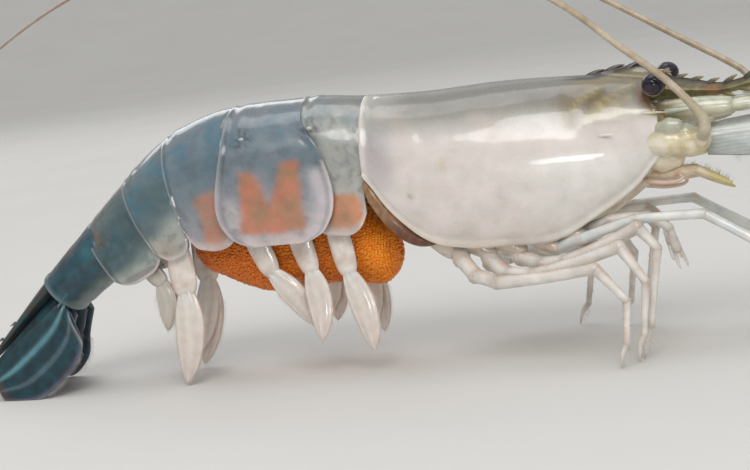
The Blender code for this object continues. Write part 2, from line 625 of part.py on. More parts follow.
def flank(half, depth, v):
    """Half width of a segment's outer face at a depth v."""
    if v < ROUND_DEPTH:
        return half * math.sin(math.acos(1 - v / ROUND_DEPTH))
    share = (v - ROUND_DEPTH) / (depth - ROUND_DEPTH) if depth > ROUND_DEPTH else 0.0
    return half * (1 - PLEURON_TUCK * share * share)


def saddle_ring(distance, half, depth, belly):
    """Cross-section of a segment: arched back, a hanging pleuron each side, belly between them."""
    side = []
    for k in range(1, 6):
        angle = math.radians(90) * k / 5
        side.append((half * math.sin(angle), ROUND_DEPTH * (1 - math.cos(angle))))
    for share in (0.4, 0.75, 1.0):
        v = ROUND_DEPTH + (depth - ROUND_DEPTH) * share
        side.append((flank(half, depth, v), v))
    low_half = side[-1][0]
    side.append((low_half - SHELL, depth - 0.15))
    side.append((half - SHELL * 1.1, belly))
    ring = [section_point(distance, 0, 0)]
    ring += [section_point(distance, v, -y) for y, v in side]
    ring.append(section_point(distance, belly, 0))
    return ring + [section_point(distance, v, y) for y, v in reversed(side)]


def second_pleura():
    """Broad plates of the second segment, which lap over the first and the third."""
    plates = []
    for side in (-1, 1):
        rings = []
        for depth, front, rear in SECOND_PLEURON:
            outer = flank(SECOND_HALF, 30.2, depth)
            inner = outer - SECOND_SHELL
            row = []
            for distance, y in ((front, outer - 0.15), (front + 4, outer), (rear - 4, outer),
                                (rear, outer - 0.15), (rear, inner + 0.05), (rear - 4, inner),
                                (front + 4, inner), (front, inner + 0.05)):
                row.append(Vector((-distance, y * side, BACK_Z + HUMP - depth)))
            rings.append(row)
        plates.append(loft(rings))
    return plates


def build_abdomen():
    """Six segments, each a closed saddle of shell and flesh, the last a plain tapered drum."""
    for name, (start, end, half, front_depth, rear_depth, belly) in SEGMENTS.items():
        rings = []
        for share, corner in ((0, 0.84), (0.1, 0.93), (0.28, 0.99), (0.5, 1.0), (0.72, 0.985),
                              (0.9, 0.92), (1, 0.82)):
            distance = start + GAP / 2 + (end - start - GAP) * share
            depth = (front_depth + (rear_depth - front_depth) * share) * corner
            rings.append(saddle_ring(distance, half, depth, min(belly, depth - 2.5)))
        add_node(name, loft(rings), SHELL_BLUE, second_pleura() if name == "abdomen_2" else ())
    rings = []
    start, end = LAST_SEGMENT
    for share in (0, 0.15, 0.4, 0.7, 1):
        distance = start + GAP / 2 + (end - start - GAP) * share
        depth = LAST_DEPTH[0] + (LAST_DEPTH[1] - LAST_DEPTH[0]) * share
        half = LAST_HALF[0] + (LAST_HALF[1] - LAST_HALF[0]) * share
        ring = []
        for k in range(16):
            angle = 2 * math.pi * k / 16
            ring.append(section_point(distance, depth / 2 * (1 - math.cos(angle)), half * math.sin(angle)))
        rings.append(ring)
    add_node("abdomen_6", loft(rings), SHELL_TEAL)


def build_tail_fan():
    """Pointed telson between two leaves a side, folded down like a roof onto the floor."""
    root, fall = back_point(TAIL_END + GAP)
    ahead = Vector((-math.cos(fall), 0, -math.sin(fall)))
    below = Vector((math.sin(fall), 0, -math.cos(fall)))
    path = [root + below * 2.3 + ahead * (26.0 * share) for share in (0, 0.2, 0.5, 0.8, 1)]
    add_node("telson", sweep(path, (5.0, 4.6, 3.6, 2.4, 0.9), (2.0, 1.7, 1.3, 0.9, 0.5), Vector((0, 1, 0)),
                             sides=10), SHELL_TEAL)
    outer_top = ((-75.7, 4.6, 20.7), (-80.2, 5.7, 16.9), (-85.0, 6.4, 13.4), (-90.0, 7.2, 9.2),
                 (-94.5, 8.2, 4.8))
    outer_low = ((-72.9, 6.2, 16.6), (-70.6, 8.8, 10.6), (-74.4, 10.6, 4.6), (-81.6, 11.6, 0.0),
                 (-90.6, 10.6, 0.0))
    inner_top = ((-77.3, 1.3, 22.5), (-81.5, 2.0, 18.9), (-88.6, 2.6, 12.7), (-97.2, 3.4, 5.2))
    inner_low = ((-73.2, 2.9, 17.0), (-76.4, 4.2, 10.6), (-83.2, 5.2, 4.6), (-93.0, 4.8, 1.8))
    for left, name in ((False, "right"), (True, "left")):
        for kind, first, second in (("exopod", outer_top, outer_low), ("endopod", inner_top, inner_low)):
            fold = LEFT_FAN_FOLD if left and kind == "exopod" else 0.0
            low = [(x - fold * smooth(share * 4) * (1 - share), y, z) for share, (x, y, z) in spread(second)]
            leaf = blade([mirrored(point, left) for point in first],
                         [mirrored(point, left) for point in low], (1.1, 0.6, 0.5, 0.35), 0.28, 11)
            for vertex in leaf.verts:
                vertex.co.z = max(vertex.co.z, 0.0)
            add_node(f"uropod_{kind}_{name}", leaf, SHELL_TEAL)


def build_pleopods():
    """Swimming legs: a flat stem down from the belly, with an outer and an inner blade."""
    for pair, (root, knee, tip, y, stand) in PLEOPODS.items():
        for left, name in ((False, "right"), (True, "left")):
            lag = 2.5 if left else 0.0
            top = mirrored((root[0], y, root[1]), left)
            bend = mirrored((knee[0] - lag * 0.4, y + 0.1, knee[1]), left)
            end = mirrored((tip[0] - lag, y + stand, tip[1]), left)
            stem = [top.lerp(bend, share) for share in (0, 0.35, 0.75, 1)]
            half = PEDUNCLE_HALF * PLEOPOD_SIZE[pair]
            base = sweep(stem, (half * 0.8, half, half, half * 0.72), (PEDUNCLE_THICK,) * 4,
                         Vector((1, 0, 0)))
            run = (end - bend)
            start = bend - run.normalized() * 0.3 - (bend - top).normalized() * 1.0
            blades = []
            for size, inward in ((1.0, 0.0), (INNER_BLADE, 1.0)):
                shift = mirrored((-1.2 * inward, -1.5 * inward, 0), left)
                goal = bend + run * size + shift
                path = [start.lerp(goal, share) for share in (0, 0.25, 0.55, 0.82, 1)]
                path[0] += mirrored((0, -0.25 * inward, 0), left)
                widths = [width * size * PLEOPOD_SIZE[pair] for width in BLADE_HALF]
                blades.append(sweep(path, widths, BLADE_THICK, Vector((1, 0, 0))))
            add_node(f"pleopod_{pair}_{name}", base, LIMB_CREAM, blades)


def build_egg_mass():
    """Brood of eggs held between the swimming legs."""
    rings = []
    xs = (-43, -41, -38, -34, -29, -24, -19, -14, -9, -5, -2.4, 0.4, 2.4, 3.4)
    for x in xs:
        top, low, half = along(EGG_TOP, x), along(EGG_LOW, x), along(EGG_HALF, x)
        middle, tall = (top + low) / 2, (top - low) / 2
        ring = []
        for k in range(16):
            angle = 2 * math.pi * k / 16
            lump = 1 + 0.035 * math.sin(3 * angle + x * 0.55)
            ring.append(Vector((x, half * math.sin(angle), middle + tall * lump * math.cos(angle))))
        rings.append(ring)
    add_node("egg_mass", loft(rings), EGG_ORANGE)


def centre_on_floor():
    """Moves every mesh so that the origin is under the middle of the whole model's box."""
    corners = [vertex.co for item in bpy.data.objects for vertex in item.data.vertices]
    middle = [(min(c[axis] for c in corners) + max(c[axis] for c in corners)) / 2 for axis in (0, 1)]
    shift = Vector((-middle[0], -middle[1], 0))
    for item in bpy.data.objects:
        for vertex in item.data.vertices:
            vertex.co += shift


def main():
    """Builds every sub-part, then sets the model on its origin."""
    for item in list(bpy.data.objects):
        bpy.data.objects.remove(item)
    build_carapace()
    build_rostrum()
    build_head()
    build_sternum()
    build_eyes()
    build_antennules()
    build_antennae()
    build_maxillipeds()
    build_legs()
    build_abdomen()
    build_tail_fan()
    build_pleopods()
    build_egg_mass()
    centre_on_floor()


main()
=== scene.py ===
import logging
import random
from dataclasses import dataclass, field
from enum import Enum
from functools import cache
from math import acos, atan2, cos, exp, hypot, pi, radians, sin, sqrt
from typing import Callable, Iterable, Sequence

import bpy
import numpy as np
from mathutils import Matrix, Vector, noise


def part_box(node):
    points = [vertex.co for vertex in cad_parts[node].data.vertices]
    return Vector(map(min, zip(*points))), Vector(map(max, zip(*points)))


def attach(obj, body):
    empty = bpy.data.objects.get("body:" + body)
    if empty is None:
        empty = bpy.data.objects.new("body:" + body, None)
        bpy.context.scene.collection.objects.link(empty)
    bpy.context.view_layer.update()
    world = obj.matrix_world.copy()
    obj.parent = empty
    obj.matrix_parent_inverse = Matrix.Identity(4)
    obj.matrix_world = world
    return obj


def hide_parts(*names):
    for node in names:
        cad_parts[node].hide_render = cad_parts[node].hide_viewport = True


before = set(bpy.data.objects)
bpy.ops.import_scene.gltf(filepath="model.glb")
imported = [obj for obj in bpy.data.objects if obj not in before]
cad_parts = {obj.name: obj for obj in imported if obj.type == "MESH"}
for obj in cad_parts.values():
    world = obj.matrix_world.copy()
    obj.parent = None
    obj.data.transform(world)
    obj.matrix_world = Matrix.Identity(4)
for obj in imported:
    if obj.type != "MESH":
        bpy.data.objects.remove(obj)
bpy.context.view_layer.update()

LOG = logging.getLogger("prawn")
MM = 0.001
SHELL_LOW, SHELL_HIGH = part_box("carapace")
AXIS = Vector((SHELL_LOW.x, (SHELL_LOW.y + SHELL_HIGH.y) / 2, 0.0))

Colour = tuple[float, float, float]
Place = tuple[float, float, float]
Table = tuple[tuple[float, float], ...]
Places = Sequence[Sequence[float]]
Path = list[Vector]
Rows = list[Path]
Paint = Callable[[Vector, float, float], Colour]
Hairs = list[tuple[Vector, Vector]]
Piece = bpy.types.Object

FORWARD, LEFTWARD, UP = Vector((1, 0, 0)), Vector((0, 1, 0)), Vector((0, 0, 1))
STRAIGHT = Vector((0, 0, 0))
# Where an article's end is drawn in, as angles from its pole
ROUNDED_END = tuple(radians(turn) for turn in (15, 40, 65))
# Heights that skin and hairs stay above
LOWEST, LOWEST_HAIR = 0.02, 0.1
# Metres at which a grid's ends are welded, and angles that still look smooth
WELD = 2e-6
SMOOTH, SMOOTH_CUT = radians(55), radians(50)
# Stands for any distance from a rim too great for the rim to show
FAR_OFF = 9.0


class Side(Enum):
    """The two sides of the animal; the right one faces the camera."""

    RIGHT = -1
    LEFT = 1

    @property
    def label(self) -> str:
        """Name of the side as the nodes spell it."""
        return self.name.lower()

    def put(self, point: Sequence[float]) -> Vector:
        """Point on this side, from one given with y outwards."""
        return Vector((point[0], point[1] * self.value, point[2]))


# Numbers and lines


def smooth(share: float) -> float:
    """Rises from 0 to 1 without a kink at either end."""
    share = min(max(share, 0.0), 1.0)
    return share * share * (3.0 - 2.0 * share)


def ramp(distance: float, width: float) -> float:
    """Rises smoothly from 0 to 1 over a width."""
    return smooth(distance / width)


def hill(distance: float, width: float) -> float:
    """Bell of height 1 at distance 0."""
    return exp(-((distance / width) ** 2))


def at(table: Table, x: float) -> float:
    """Value at x on a smooth line through (x, value) points, level beyond its ends.

    Args:
        table: The points, in rising x.
        x: Where to read the line.

    Returns:
        The line's value there.
    """
    if x <= table[0][0]:
        return table[0][1]
    if x >= table[-1][0]:
        return table[-1][1]
    last = len(table) - 1
    k = max(i for i in range(last) if table[i][0] <= x)

    def slope(i: int) -> float:
        """Slope of the line at one of its points."""
        low, high = max(i - 1, 0), min(i + 1, last)
        return (table[high][1] - table[low][1]) / (table[high][0] - table[low][0])

    step = table[k + 1][0] - table[k][0]
    t = (x - table[k][0]) / step
    return (table[k][1] * (1 + 2 * t) * (1 - t) ** 2 + slope(k) * step * t * (1 - t) ** 2
        + table[k + 1][1] * (3 - 2 * t) * t ** 2 + slope(k + 1) * step * (t - 1) * t ** 2)


def spread(values: Sequence) -> list[tuple[float, object]]:
    """Pairs each value with its share of the way along the list."""
    return [(k / (len(values) - 1), value) for k, value in enumerate(values)]


def curve(points: Places, count: int) -> Path:
    """Evenly numbered stations on a smooth curve through points in space."""
    axes = [tuple((share, point[axis]) for share, point in spread(points)) for axis in range(3)]
    return [Vector([at(axis, k / (count - 1)) for axis in axes]) for k in range(count)]


def even(path: Path, step: float) -> Path:
    """Stations an equal distance apart along a path.

    Args:
        path: The path to walk.
        step: About how far apart the stations stand.

    Returns:
        The stations, with both ends kept.
    """
    runs = [0.0]
    for near, far in zip(path, path[1:]):
        runs.append(runs[-1] + (far - near).length)
    count = max(3, round(runs[-1] / step) + 1)
    places = np.linspace(0.0, runs[-1], count)
    columns = [np.interp(places, runs, [point[axis] for point in path]) for axis in range(3)]
    return [Vector(point) for point in zip(*columns)]


def ruffle(point: Vector, size: float) -> float:
    """Smooth noise between about -1 and 1 whose clouds are of one size in millimetres."""
    return noise.fractal(point / size, 1.0, 2.0, 3, noise_basis="PERLIN_ORIGINAL")


# Colours and materials


@cache
def linear(code: str) -> Colour:
    """Linear red, green and blue of an sRGB hex colour."""
    values = [int(code[k:k + 2], 16) / 255 for k in (1, 3, 5)]
    return tuple(v / 12.92 if v <= 0.04045 else ((v + 0.055) / 1.055) ** 2.4 for v in values)


def blend(low: Colour, high: Colour, share: float) -> Colour:
    """Colour part of the way from one to another."""
    share = min(max(share, 0.0), 1.0)
    return tuple(a + (b - a) * share for a, b in zip(low, high))


def layered(base: str | Colour, *coats: tuple[str | Colour, float]) -> Colour:
    """Colour of a base under thin coats.

    Args:
        base: The base, as a hex code or a linear colour.
        *coats: Colour of each coat, and the share of it that covers what lies below.

    Returns:
        The linear colour.
    """
    look = linear(base) if isinstance(base, str) else base
    for colour, share in coats:
        look = blend(look, linear(colour) if isinstance(colour, str) else colour, share)
    return look


def plain(code: str) -> Paint:
    """Paint of one colour."""
    return lambda point, around, share: linear(code)


def mottled(low: str, high: str, middle: float, swing: float, size: float) -> Paint:
    """Paint that wavers between two colours, in clouds of one size in millimetres."""
    return lambda point, around, share: layered(low, (high, middle + swing * ruffle(point, size)))


@dataclass(frozen=True)
class Finish:
    """One natural material, and how its surface looks close to."""

    # Clouds are as wide as the animal's stains. Real pits are finer than 0.1 mm, and the grain is drawn
    # coarser than that so that it shows.
    name: str
    fleck: str
    cloud_mm: float
    cloud: float
    grain_mm: float
    grain_high_mm: float
    roughness: float
    ior: float = 1.54
    coat: float = 0.0
    flesh: float = 0.0
    flesh_mm: float = 1.0


# Living prawn shell is chitin and lime, a tenth of a millimetre thick and wet, so light goes a
# little way into the flesh below it and the water film on it gives small sharp highlights.
CARAPACE_SHELL = Finish("wet_carapace_chitin", "#A9A79C", 5.0, 0.32, 0.32, 0.018, 0.24,
    coat=0.75, flesh=0.16, flesh_mm=1.6)
ROSTRUM_SHELL = Finish("olive_rostrum_chitin", "#3E3820", 2.2, 0.5, 0.25, 0.03, 0.5, coat=0.08,
    flesh=0.06, flesh_mm=0.6)
ABDOMEN_SHELL = Finish("clear_abdomen_chitin", "#6F7B80", 3.2, 0.34, 0.35, 0.02, 0.22,
    coat=0.85, flesh=0.2, flesh_mm=1.8)
TAIL_SHELL = Finish("dark_tail_chitin", "#16303A", 2.6, 0.5, 0.3, 0.025, 0.32, coat=0.25,
    flesh=0.08, flesh_mm=0.8)
LIMB_SHELL = Finish("pale_limb_chitin", "#C9B89C", 2.0, 0.28, 0.22, 0.012, 0.26, coat=0.7,
    flesh=0.2, flesh_mm=0.9)
SWIMMERET_SHELL = Finish("thin_swimmeret_chitin", "#BBA89E", 2.0, 0.3, 0.25, 0.012, 0.18, coat=1.0,
    flesh=0.25, flesh_mm=0.9)
SCALE_SHELL = Finish("thin_feeler_scale_chitin", "#8E9A9A", 3.0, 0.3, 0.3, 0.012, 0.2, coat=0.9,
    flesh=0.2, flesh_mm=0.8)
# Feelers are dry-looking chains of short rings, so their shine is broken up.
FEELER_SHELL = Finish("ringed_feeler_chitin", "#8F7D68", 1.6, 0.4, 0.2, 0.02, 0.38, coat=0.3,
    flesh=0.1, flesh_mm=0.5)
# The eye is a dome of thousands of tiny lenses over black pigment, as smooth as wet glass.
EYE_LENS = Finish("dark_compound_cornea", "#2A1B38", 0.8, 0.4, 0.12, 0.006, 0.16, ior=1.38, coat=0.5)
# Eggs are clear-skinned and full of orange yolk, so each bead glows at its edge.
EGG_YOLK = Finish("orange_egg_yolk", "#A85A18", 0.9, 0.3, 0.15, 0.01, 0.32, ior=1.4, coat=0.4,
    flesh=0.3, flesh_mm=0.6)
# Skin between the shells is unhardened chitin, so it is soft, folded and damp.
MEMBRANE = Finish("soft_wet_membrane", "#9C8468", 1.5, 0.5, 0.3, 0.04, 0.35, coat=0.5, flesh=0.25,
    flesh_mm=1.2)
# Bristles are bare chitin and too thin to hold a film of water, so they look dull. Real ones are
# finer than 0.1 mm and are drawn at about that so that they show.
BRISTLE = Finish("fine_bristle_chitin", "#7E735F", 1.0, 0.3, 0.2, 0.0, 0.45, flesh=0.1, flesh_mm=0.3)
# Matt paper throws back even light without a shine.
FLOOR_PAPER = Finish("matt_studio_paper", "#D3D1CC", 90.0, 0.1, 1.2, 0.0, 0.85)


def node(tree: bpy.types.NodeTree, kind: str, links: dict | None = None, values: dict | None = None,
        **settings: object) -> bpy.types.Node:
    """Adds a node, sets it up and joins its inputs.

    Args:
        tree: The material's nodes.
        kind: The node's type.
        links: The output that feeds each input, by the input's name or number.
        values: The value of each input that nothing feeds.
        **settings: The node's own properties.

    Returns:
        The new node.
    """
    made = tree.nodes.new(kind)
    for name, value in settings.items():
        setattr(made, name, value)
    for socket, value in (values or {}).items():
        made.inputs[socket].default_value = value
    for socket, source in (links or {}).items():
        tree.links.new(source, made.inputs[socket])
    return made


def material(finish: Finish) -> bpy.types.Material:
    """The Blender material of a finish, made once.

    Args:
        finish: The natural material.

    Returns:
        Its node material: painted tint, clouding, fine grain, wet film and light in the flesh.
    """
    made = bpy.data.materials.get(finish.name)
    if made is not None:
        return made
    made = bpy.data.materials.new(finish.name)
    made.use_nodes = True
    tree = made.node_tree
    shader = tree.nodes["Principled BSDF"]
    place = node(tree, "ShaderNodeTexCoord").outputs["Object"]
    cloud = node(tree, "ShaderNodeTexNoise", {"Vector": place},
        {"Scale": 1 / (finish.cloud_mm * MM), "Detail": 4.0, "Roughness": 0.6})
    base = node(tree, "ShaderNodeAttribute", attribute_name="tint").outputs["Color"]
    amount = node(tree, "ShaderNodeMapRange", {"Value": cloud.outputs["Fac"]},
        {"From Min": 0.38, "From Max": 0.72, "To Min": 0.0, "To Max": finish.cloud})
    veil = node(tree, "ShaderNodeMix", {0: amount.outputs["Result"], 6: base},
        {7: (*blend(linear(finish.fleck), (1, 1, 1), 0.15), 1.0)}, data_type="RGBA", blend_type="MULTIPLY")
    tree.links.new(veil.outputs[2], shader.inputs["Base Color"])
    grain = node(tree, "ShaderNodeTexNoise", {"Vector": place},
        {"Scale": 1 / (finish.grain_mm * MM), "Detail": 2.0, "Roughness": 0.5})
    rough = node(tree, "ShaderNodeMapRange", {"Value": cloud.outputs["Fac"]},
        {"From Min": 0.3, "From Max": 0.7, "To Min": finish.roughness - 0.05,
         "To Max": finish.roughness + 0.09})
    tree.links.new(rough.outputs["Result"], shader.inputs["Roughness"])
    if finish.grain_high_mm:
        bump = node(tree, "ShaderNodeBump", {"Height": grain.outputs["Fac"]},
            {"Strength": 1.0, "Distance": finish.grain_high_mm * MM})
        tree.links.new(bump.outputs["Normal"], shader.inputs["Normal"])
    for socket, value in {"IOR": finish.ior, "Coat Weight": finish.coat, "Coat Roughness": 0.06,
            "Subsurface Weight": finish.flesh, "Subsurface Radius": (1.0, 0.62, 0.45),
            "Subsurface Scale": finish.flesh_mm * MM}.items():
        shader.inputs[socket].default_value = value
    return made


# Meshes


def animal_points(piece: Piece) -> Path:
    """Every vertex of a piece in the animal's own millimetres."""
    values = np.empty(len(piece.data.vertices) * 3)
    piece.data.vertices.foreach_get("co", values)
    return [Vector(point) for point in (values.reshape(-1, 3) - np.array(AXIS)) / MM]


def tint(piece: Piece, colours: Iterable[Colour]) -> None:
    """Writes a colour on each vertex of a piece.

    Args:
        piece: The mesh object.
        colours: One linear colour for each vertex, in order.
    """
    layer = piece.data.color_attributes.get("tint")
    if layer is None:
        layer = piece.data.color_attributes.new("tint", "FLOAT_COLOR", "POINT")
    values = np.array([(*colour, 1.0) for colour in colours], dtype=np.float32)
    layer.data.foreach_set("color", values.ravel())


def paint_by_place(piece: Piece, paint: Paint) -> None:
    """Paints a piece from the place of each vertex alone."""
    tint(piece, [paint(point, 0.0, 0.0) for point in animal_points(piece)])


def skin(name: str, rows: Rows, paint: Paint, around: bool = True, capped: bool = True) -> Piece:
    """Lays a grid primitive over rows of points, one grid row to each, and shuts it.

    Args:
        name: The piece's name.
        rows: The rows, each with the same number of points.
        paint: Colour from a point, its share of the way round its row, and its row's share.
        around: Whether each row closes on itself.
        capped: Whether the first and last rows are filled.

    Returns:
        The piece, in its place.
    """
    pick()
    cells = len(rows[0]) if around else len(rows[0]) - 1
    bpy.ops.mesh.primitive_grid_add(x_subdivisions=cells, y_subdivisions=len(rows) - 1, size=2)
    made = bpy.context.object
    made.name = name
    full = [list(row) + ([row[0]] if around else []) for row in rows]
    points = np.array([tuple(point) for row in full for point in row])
    made.data.vertices.foreach_set("co", (points * MM + np.array(AXIS)).ravel())
    tint(made, [paint(point, k / cells, v) for v, row in spread(full) for k, point in enumerate(row)])
    bpy.ops.object.mode_set(mode="EDIT")
    bpy.ops.mesh.select_all(action="SELECT")
    if around:
        bpy.ops.mesh.remove_doubles(threshold=WELD)
        bpy.ops.mesh.select_all(action="SELECT")
    if capped:
        bpy.ops.mesh.fill_holes(sides=0)
        bpy.ops.mesh.select_all(action="SELECT")
    bpy.ops.mesh.normals_make_consistent(inside=False)
    bpy.ops.object.mode_set(mode="OBJECT")
    bpy.ops.object.shade_smooth_by_angle(angle=SMOOTH)
    return made


def turns(count: int) -> list[float]:
    """Angles of so many even steps round a circle."""
    return [2 * pi * n / count for n in range(count)]


def sized(table: Table, path: Sequence) -> list[float]:
    """Values of a table at each point's share of the way along a path."""
    return [at(table, share) for share, _ in spread(path)]


def pick(*pieces: Piece) -> None:
    """Selects these pieces and nothing else, the first one active."""
    bpy.ops.object.select_all(action="DESELECT")
    for piece in pieces:
        piece.select_set(True)
    if pieces:
        bpy.context.view_layer.objects.active = pieces[0]


def stretched(name: str, centre: Vector, by: Place, paint: Paint) -> Piece:
    """Finishes the round primitive that was just added.

    Args:
        name: The piece's name.
        centre: Its centre in the animal's millimetres.
        by: How far it is stretched along each axis.
        paint: Its colours, as skin() takes them.

    Returns:
        The piece.
    """
    bpy.ops.object.transform_apply(location=True, rotation=True, scale=True)
    made = bpy.context.object
    made.name = name
    bpy.ops.object.mode_set(mode="EDIT")
    bpy.ops.mesh.select_all(action="SELECT")
    bpy.ops.transform.resize(value=by, center_override=centre * MM + AXIS)
    bpy.ops.object.mode_set(mode="OBJECT")
    bpy.ops.object.shade_smooth()
    paint_by_place(made, paint)
    return made


def ring_rows(path: Path, widths: Sequence[float], heights: Sequence[float], side: Vector,
        sides: int = 16) -> Rows:
    """Ellipses along a path, carried along it without twist.

    Args:
        path: The centres.
        widths: Half width of each ellipse, along side.
        heights: Half height of each, across side.
        side: Direction of the first width.
        sides: Points in each ellipse.

    Returns:
        The rows of points.
    """
    last = len(path) - 1
    tangents = [(path[min(k + 1, last)] - path[max(k - 1, 0)]).normalized() for k in range(last + 1)]
    across = (side - tangents[0] * side.dot(tangents[0])).normalized()
    rows = []
    for k, (centre, tangent) in enumerate(zip(path, tangents)):
        if k:
            across = tangents[k - 1].rotation_difference(tangent) @ across
        upright = tangent.cross(across)
        rows.append([centre + across * (widths[k] * cos(turn)) + upright * (heights[k] * sin(turn))
            for turn in turns(sides)])
    return rows


def leaf_rows(first: Places, second: Places, thickness: Sequence[float], edge: float, count: int,
        cells: int = 12, rib: float = 0.0, rib_share: float = 0.5) -> Rows:
    """Rows of a thin leaf between two edges, thickest along its middle.

    Args:
        first: Points of one edge, from root to tip.
        second: Points of the other edge.
        thickness: Half thickness along the leaf's length.
        edge: Half thickness at the edges.
        count: Rows along the leaf.
        cells: Cells across each face.
        rib: How far a rib stands out along the leaf.
        rib_share: Where the rib runs, as a share from the first edge.

    Returns:
        The rows, each round the leaf.
    """
    one, two = curve(first, count), curve(second, count)
    rows = []
    for k in range(count):
        low, high = max(k - 1, 0), min(k + 1, count - 1)
        run = (one[high] + two[high]) - (one[low] + two[low])
        normal = run.cross(two[k] - one[k]).normalized()
        swell = at(tuple(spread(thickness)), k / (count - 1))
        profile = []
        for n in range(cells + 1):
            share = n / cells
            half = edge + (swell - edge) * sin(pi * share) ** 0.7
            half += rib * hill(share - rib_share, 0.05) * (1 - k / count)
            profile.append((share, half))
        rows.append([one[k].lerp(two[k], share) + normal * half for share, half in profile]
            + [one[k].lerp(two[k], share) - normal * half for share, half in reversed(profile)])
    return rows


def tube(name: str, path: Path, radii: Sequence[float], paint: Paint, sides: int = 12,
        side: Vector = UP) -> Piece:
    """Round-section piece along a path, painted as skin() does."""
    return skin(name, ring_rows(path, radii, radii, side, sides), paint)


def joined(pieces: Sequence[Piece], name: str) -> Piece:
    """Joins pieces into one under a name."""
    pick(*pieces)
    if len(pieces) > 1:
        bpy.ops.object.join()
    pieces[0].name = name
    return pieces[0]


def fused(piece: Piece, cell: float, rounds: int) -> None:
    """Melts a piece's overlapping bodies into one skin and smooths its creases.

    Args:
        piece: The piece.
        cell: Size of the new faces in millimetres.
        rounds: How many times the creases are smoothed.
    """
    pick(piece)
    melt = piece.modifiers.new("melt", "REMESH")
    melt.mode = "VOXEL"
    melt.voxel_size = cell * MM
    bpy.ops.object.modifier_apply(modifier=melt.name)
    soft = piece.modifiers.new("soften", "SMOOTH")
    soft.factor = 0.5
    soft.iterations = rounds
    bpy.ops.object.modifier_apply(modifier=soft.name)
    bpy.ops.object.shade_smooth()


def strewn(name: str, model: Piece, places: Sequence[Matrix], colours: Sequence[Colour]) -> Piece:
    """One piece of many copies of a small model, which is then removed.

    Args:
        name: The piece's name.
        model: The model, about its own origin.
        places: Where each copy goes, in the animal's millimetres.
        colours: Colour of each copy.

    Returns:
        The piece.
    """
    corners = np.array([(*vertex.co, 1.0) for vertex in model.data.vertices])
    faces = [tuple(face.vertices) for face in model.data.polygons]
    blocks = [(corners @ np.array(place).T)[:, :3] for place in places]
    points = np.concatenate(blocks) * MM + np.array(AXIS)
    count = len(corners)
    mesh = bpy.data.meshes.new(name)
    mesh.from_pydata(points.tolist(), [],
        [tuple(v + k * count for v in face) for k in range(len(places)) for face in faces])
    mesh.shade_smooth()
    made = bpy.data.objects.new(name, mesh)
    bpy.context.scene.collection.objects.link(made)
    tint(made, [colour for colour in colours for _ in range(count)])
    bpy.data.objects.remove(model)
    return made


def aimed(root: Vector, tip: Vector, width: float) -> Matrix:
    """Matrix that stands a unit cone on a root, points it at a tip and gives it a width."""
    run = tip - root
    turn = UP.rotation_difference(run.normalized()).to_matrix().to_4x4()
    return Matrix.Translation((root + tip) / 2) @ turn @ Matrix.Diagonal((width, width, run.length, 1.0))


def bristles(name: str, hairs: Hairs, width: float, code: str) -> Piece:
    """Row of fine tapering hairs, each from a root to a tip.

    Args:
        name: The piece's name.
        hairs: Root and tip of each hair.
        width: Radius of a hair at its root.
        code: Their colour as a hex code.

    Returns:
        The piece.
    """
    pick()
    bpy.ops.mesh.primitive_cone_add(vertices=4, radius1=1.0, radius2=0.12, depth=1.0)
    model = bpy.context.object
    shades = [layered(code, ((0.9, 0.86, 0.8), 0.5 + 0.5 * ruffle(root, 1.3))) for root, _ in hairs]
    return strewn(name, model, [aimed(root, tip, width) for root, tip in hairs], shades)


def fringe(edge: Places, middle: Vector, step: float, length: float, lean: float,
        dice: random.Random) -> Hairs:
    """Hairs along an edge, pointing away from a middle and leaning towards the edge's end.

    Args:
        edge: Points of the edge, from root to tip.
        middle: Point that the hairs point away from.
        step: Distance between hairs.
        length: Length of the longest.
        lean: How far they lean along the edge, 1 being half a right angle.
        dice: Source of small differences.

    Returns:
        Root and tip of each hair.
    """
    path = even(curve(edge, 40), step)
    hairs = []
    for near, here, far in zip(path, path[1:], path[2:]):
        run = (far - near).normalized()
        away = here - middle
        away = (away - run * away.dot(run)).normalized()
        aim = (away + run * lean).normalized()
        reach = length * dice.uniform(0.75, 1.05)
        jitter = Vector([dice.uniform(-0.08, 0.08) for _ in range(3)])
        hairs.append((here - aim * 0.15, here + (aim + jitter) * reach))
    return hairs


def article(start: Vector, end: Vector, radii: Table, paint: Paint, squash: float = 1.0,
        bow: Vector = STRAIGHT, side: Vector = UP) -> Piece:
    """One article of a limb: a tube with rounded ends that its neighbours' ends sit in.

    Args:
        start: Centre of its first joint.
        end: Centre of its last joint.
        radii: Radius by share of its length.
        paint: Its colours, as skin() takes them.
        squash: Its height over its width.
        bow: How far its middle stands off the straight line.
        side: Direction of its width.

    Returns:
        The piece.
    """
    run = (end - start).normalized()
    path, sizes = [], []
    for angle in ROUNDED_END:
        path.append(start - run * (radii[0][1] * cos(angle)))
        sizes.append(radii[0][1] * sin(angle))
    for k in range(15):
        share = k / 14
        path.append(start.lerp(end, share) + bow * (4 * share * (1 - share)))
        sizes.append(at(radii, share))
    for angle in reversed(ROUNDED_END):
        path.append(end + run * (radii[-1][1] * cos(angle)))
        sizes.append(radii[-1][1] * sin(angle))
    return skin("article", ring_rows(path, sizes, [size * squash for size in sizes], side, 14), paint)


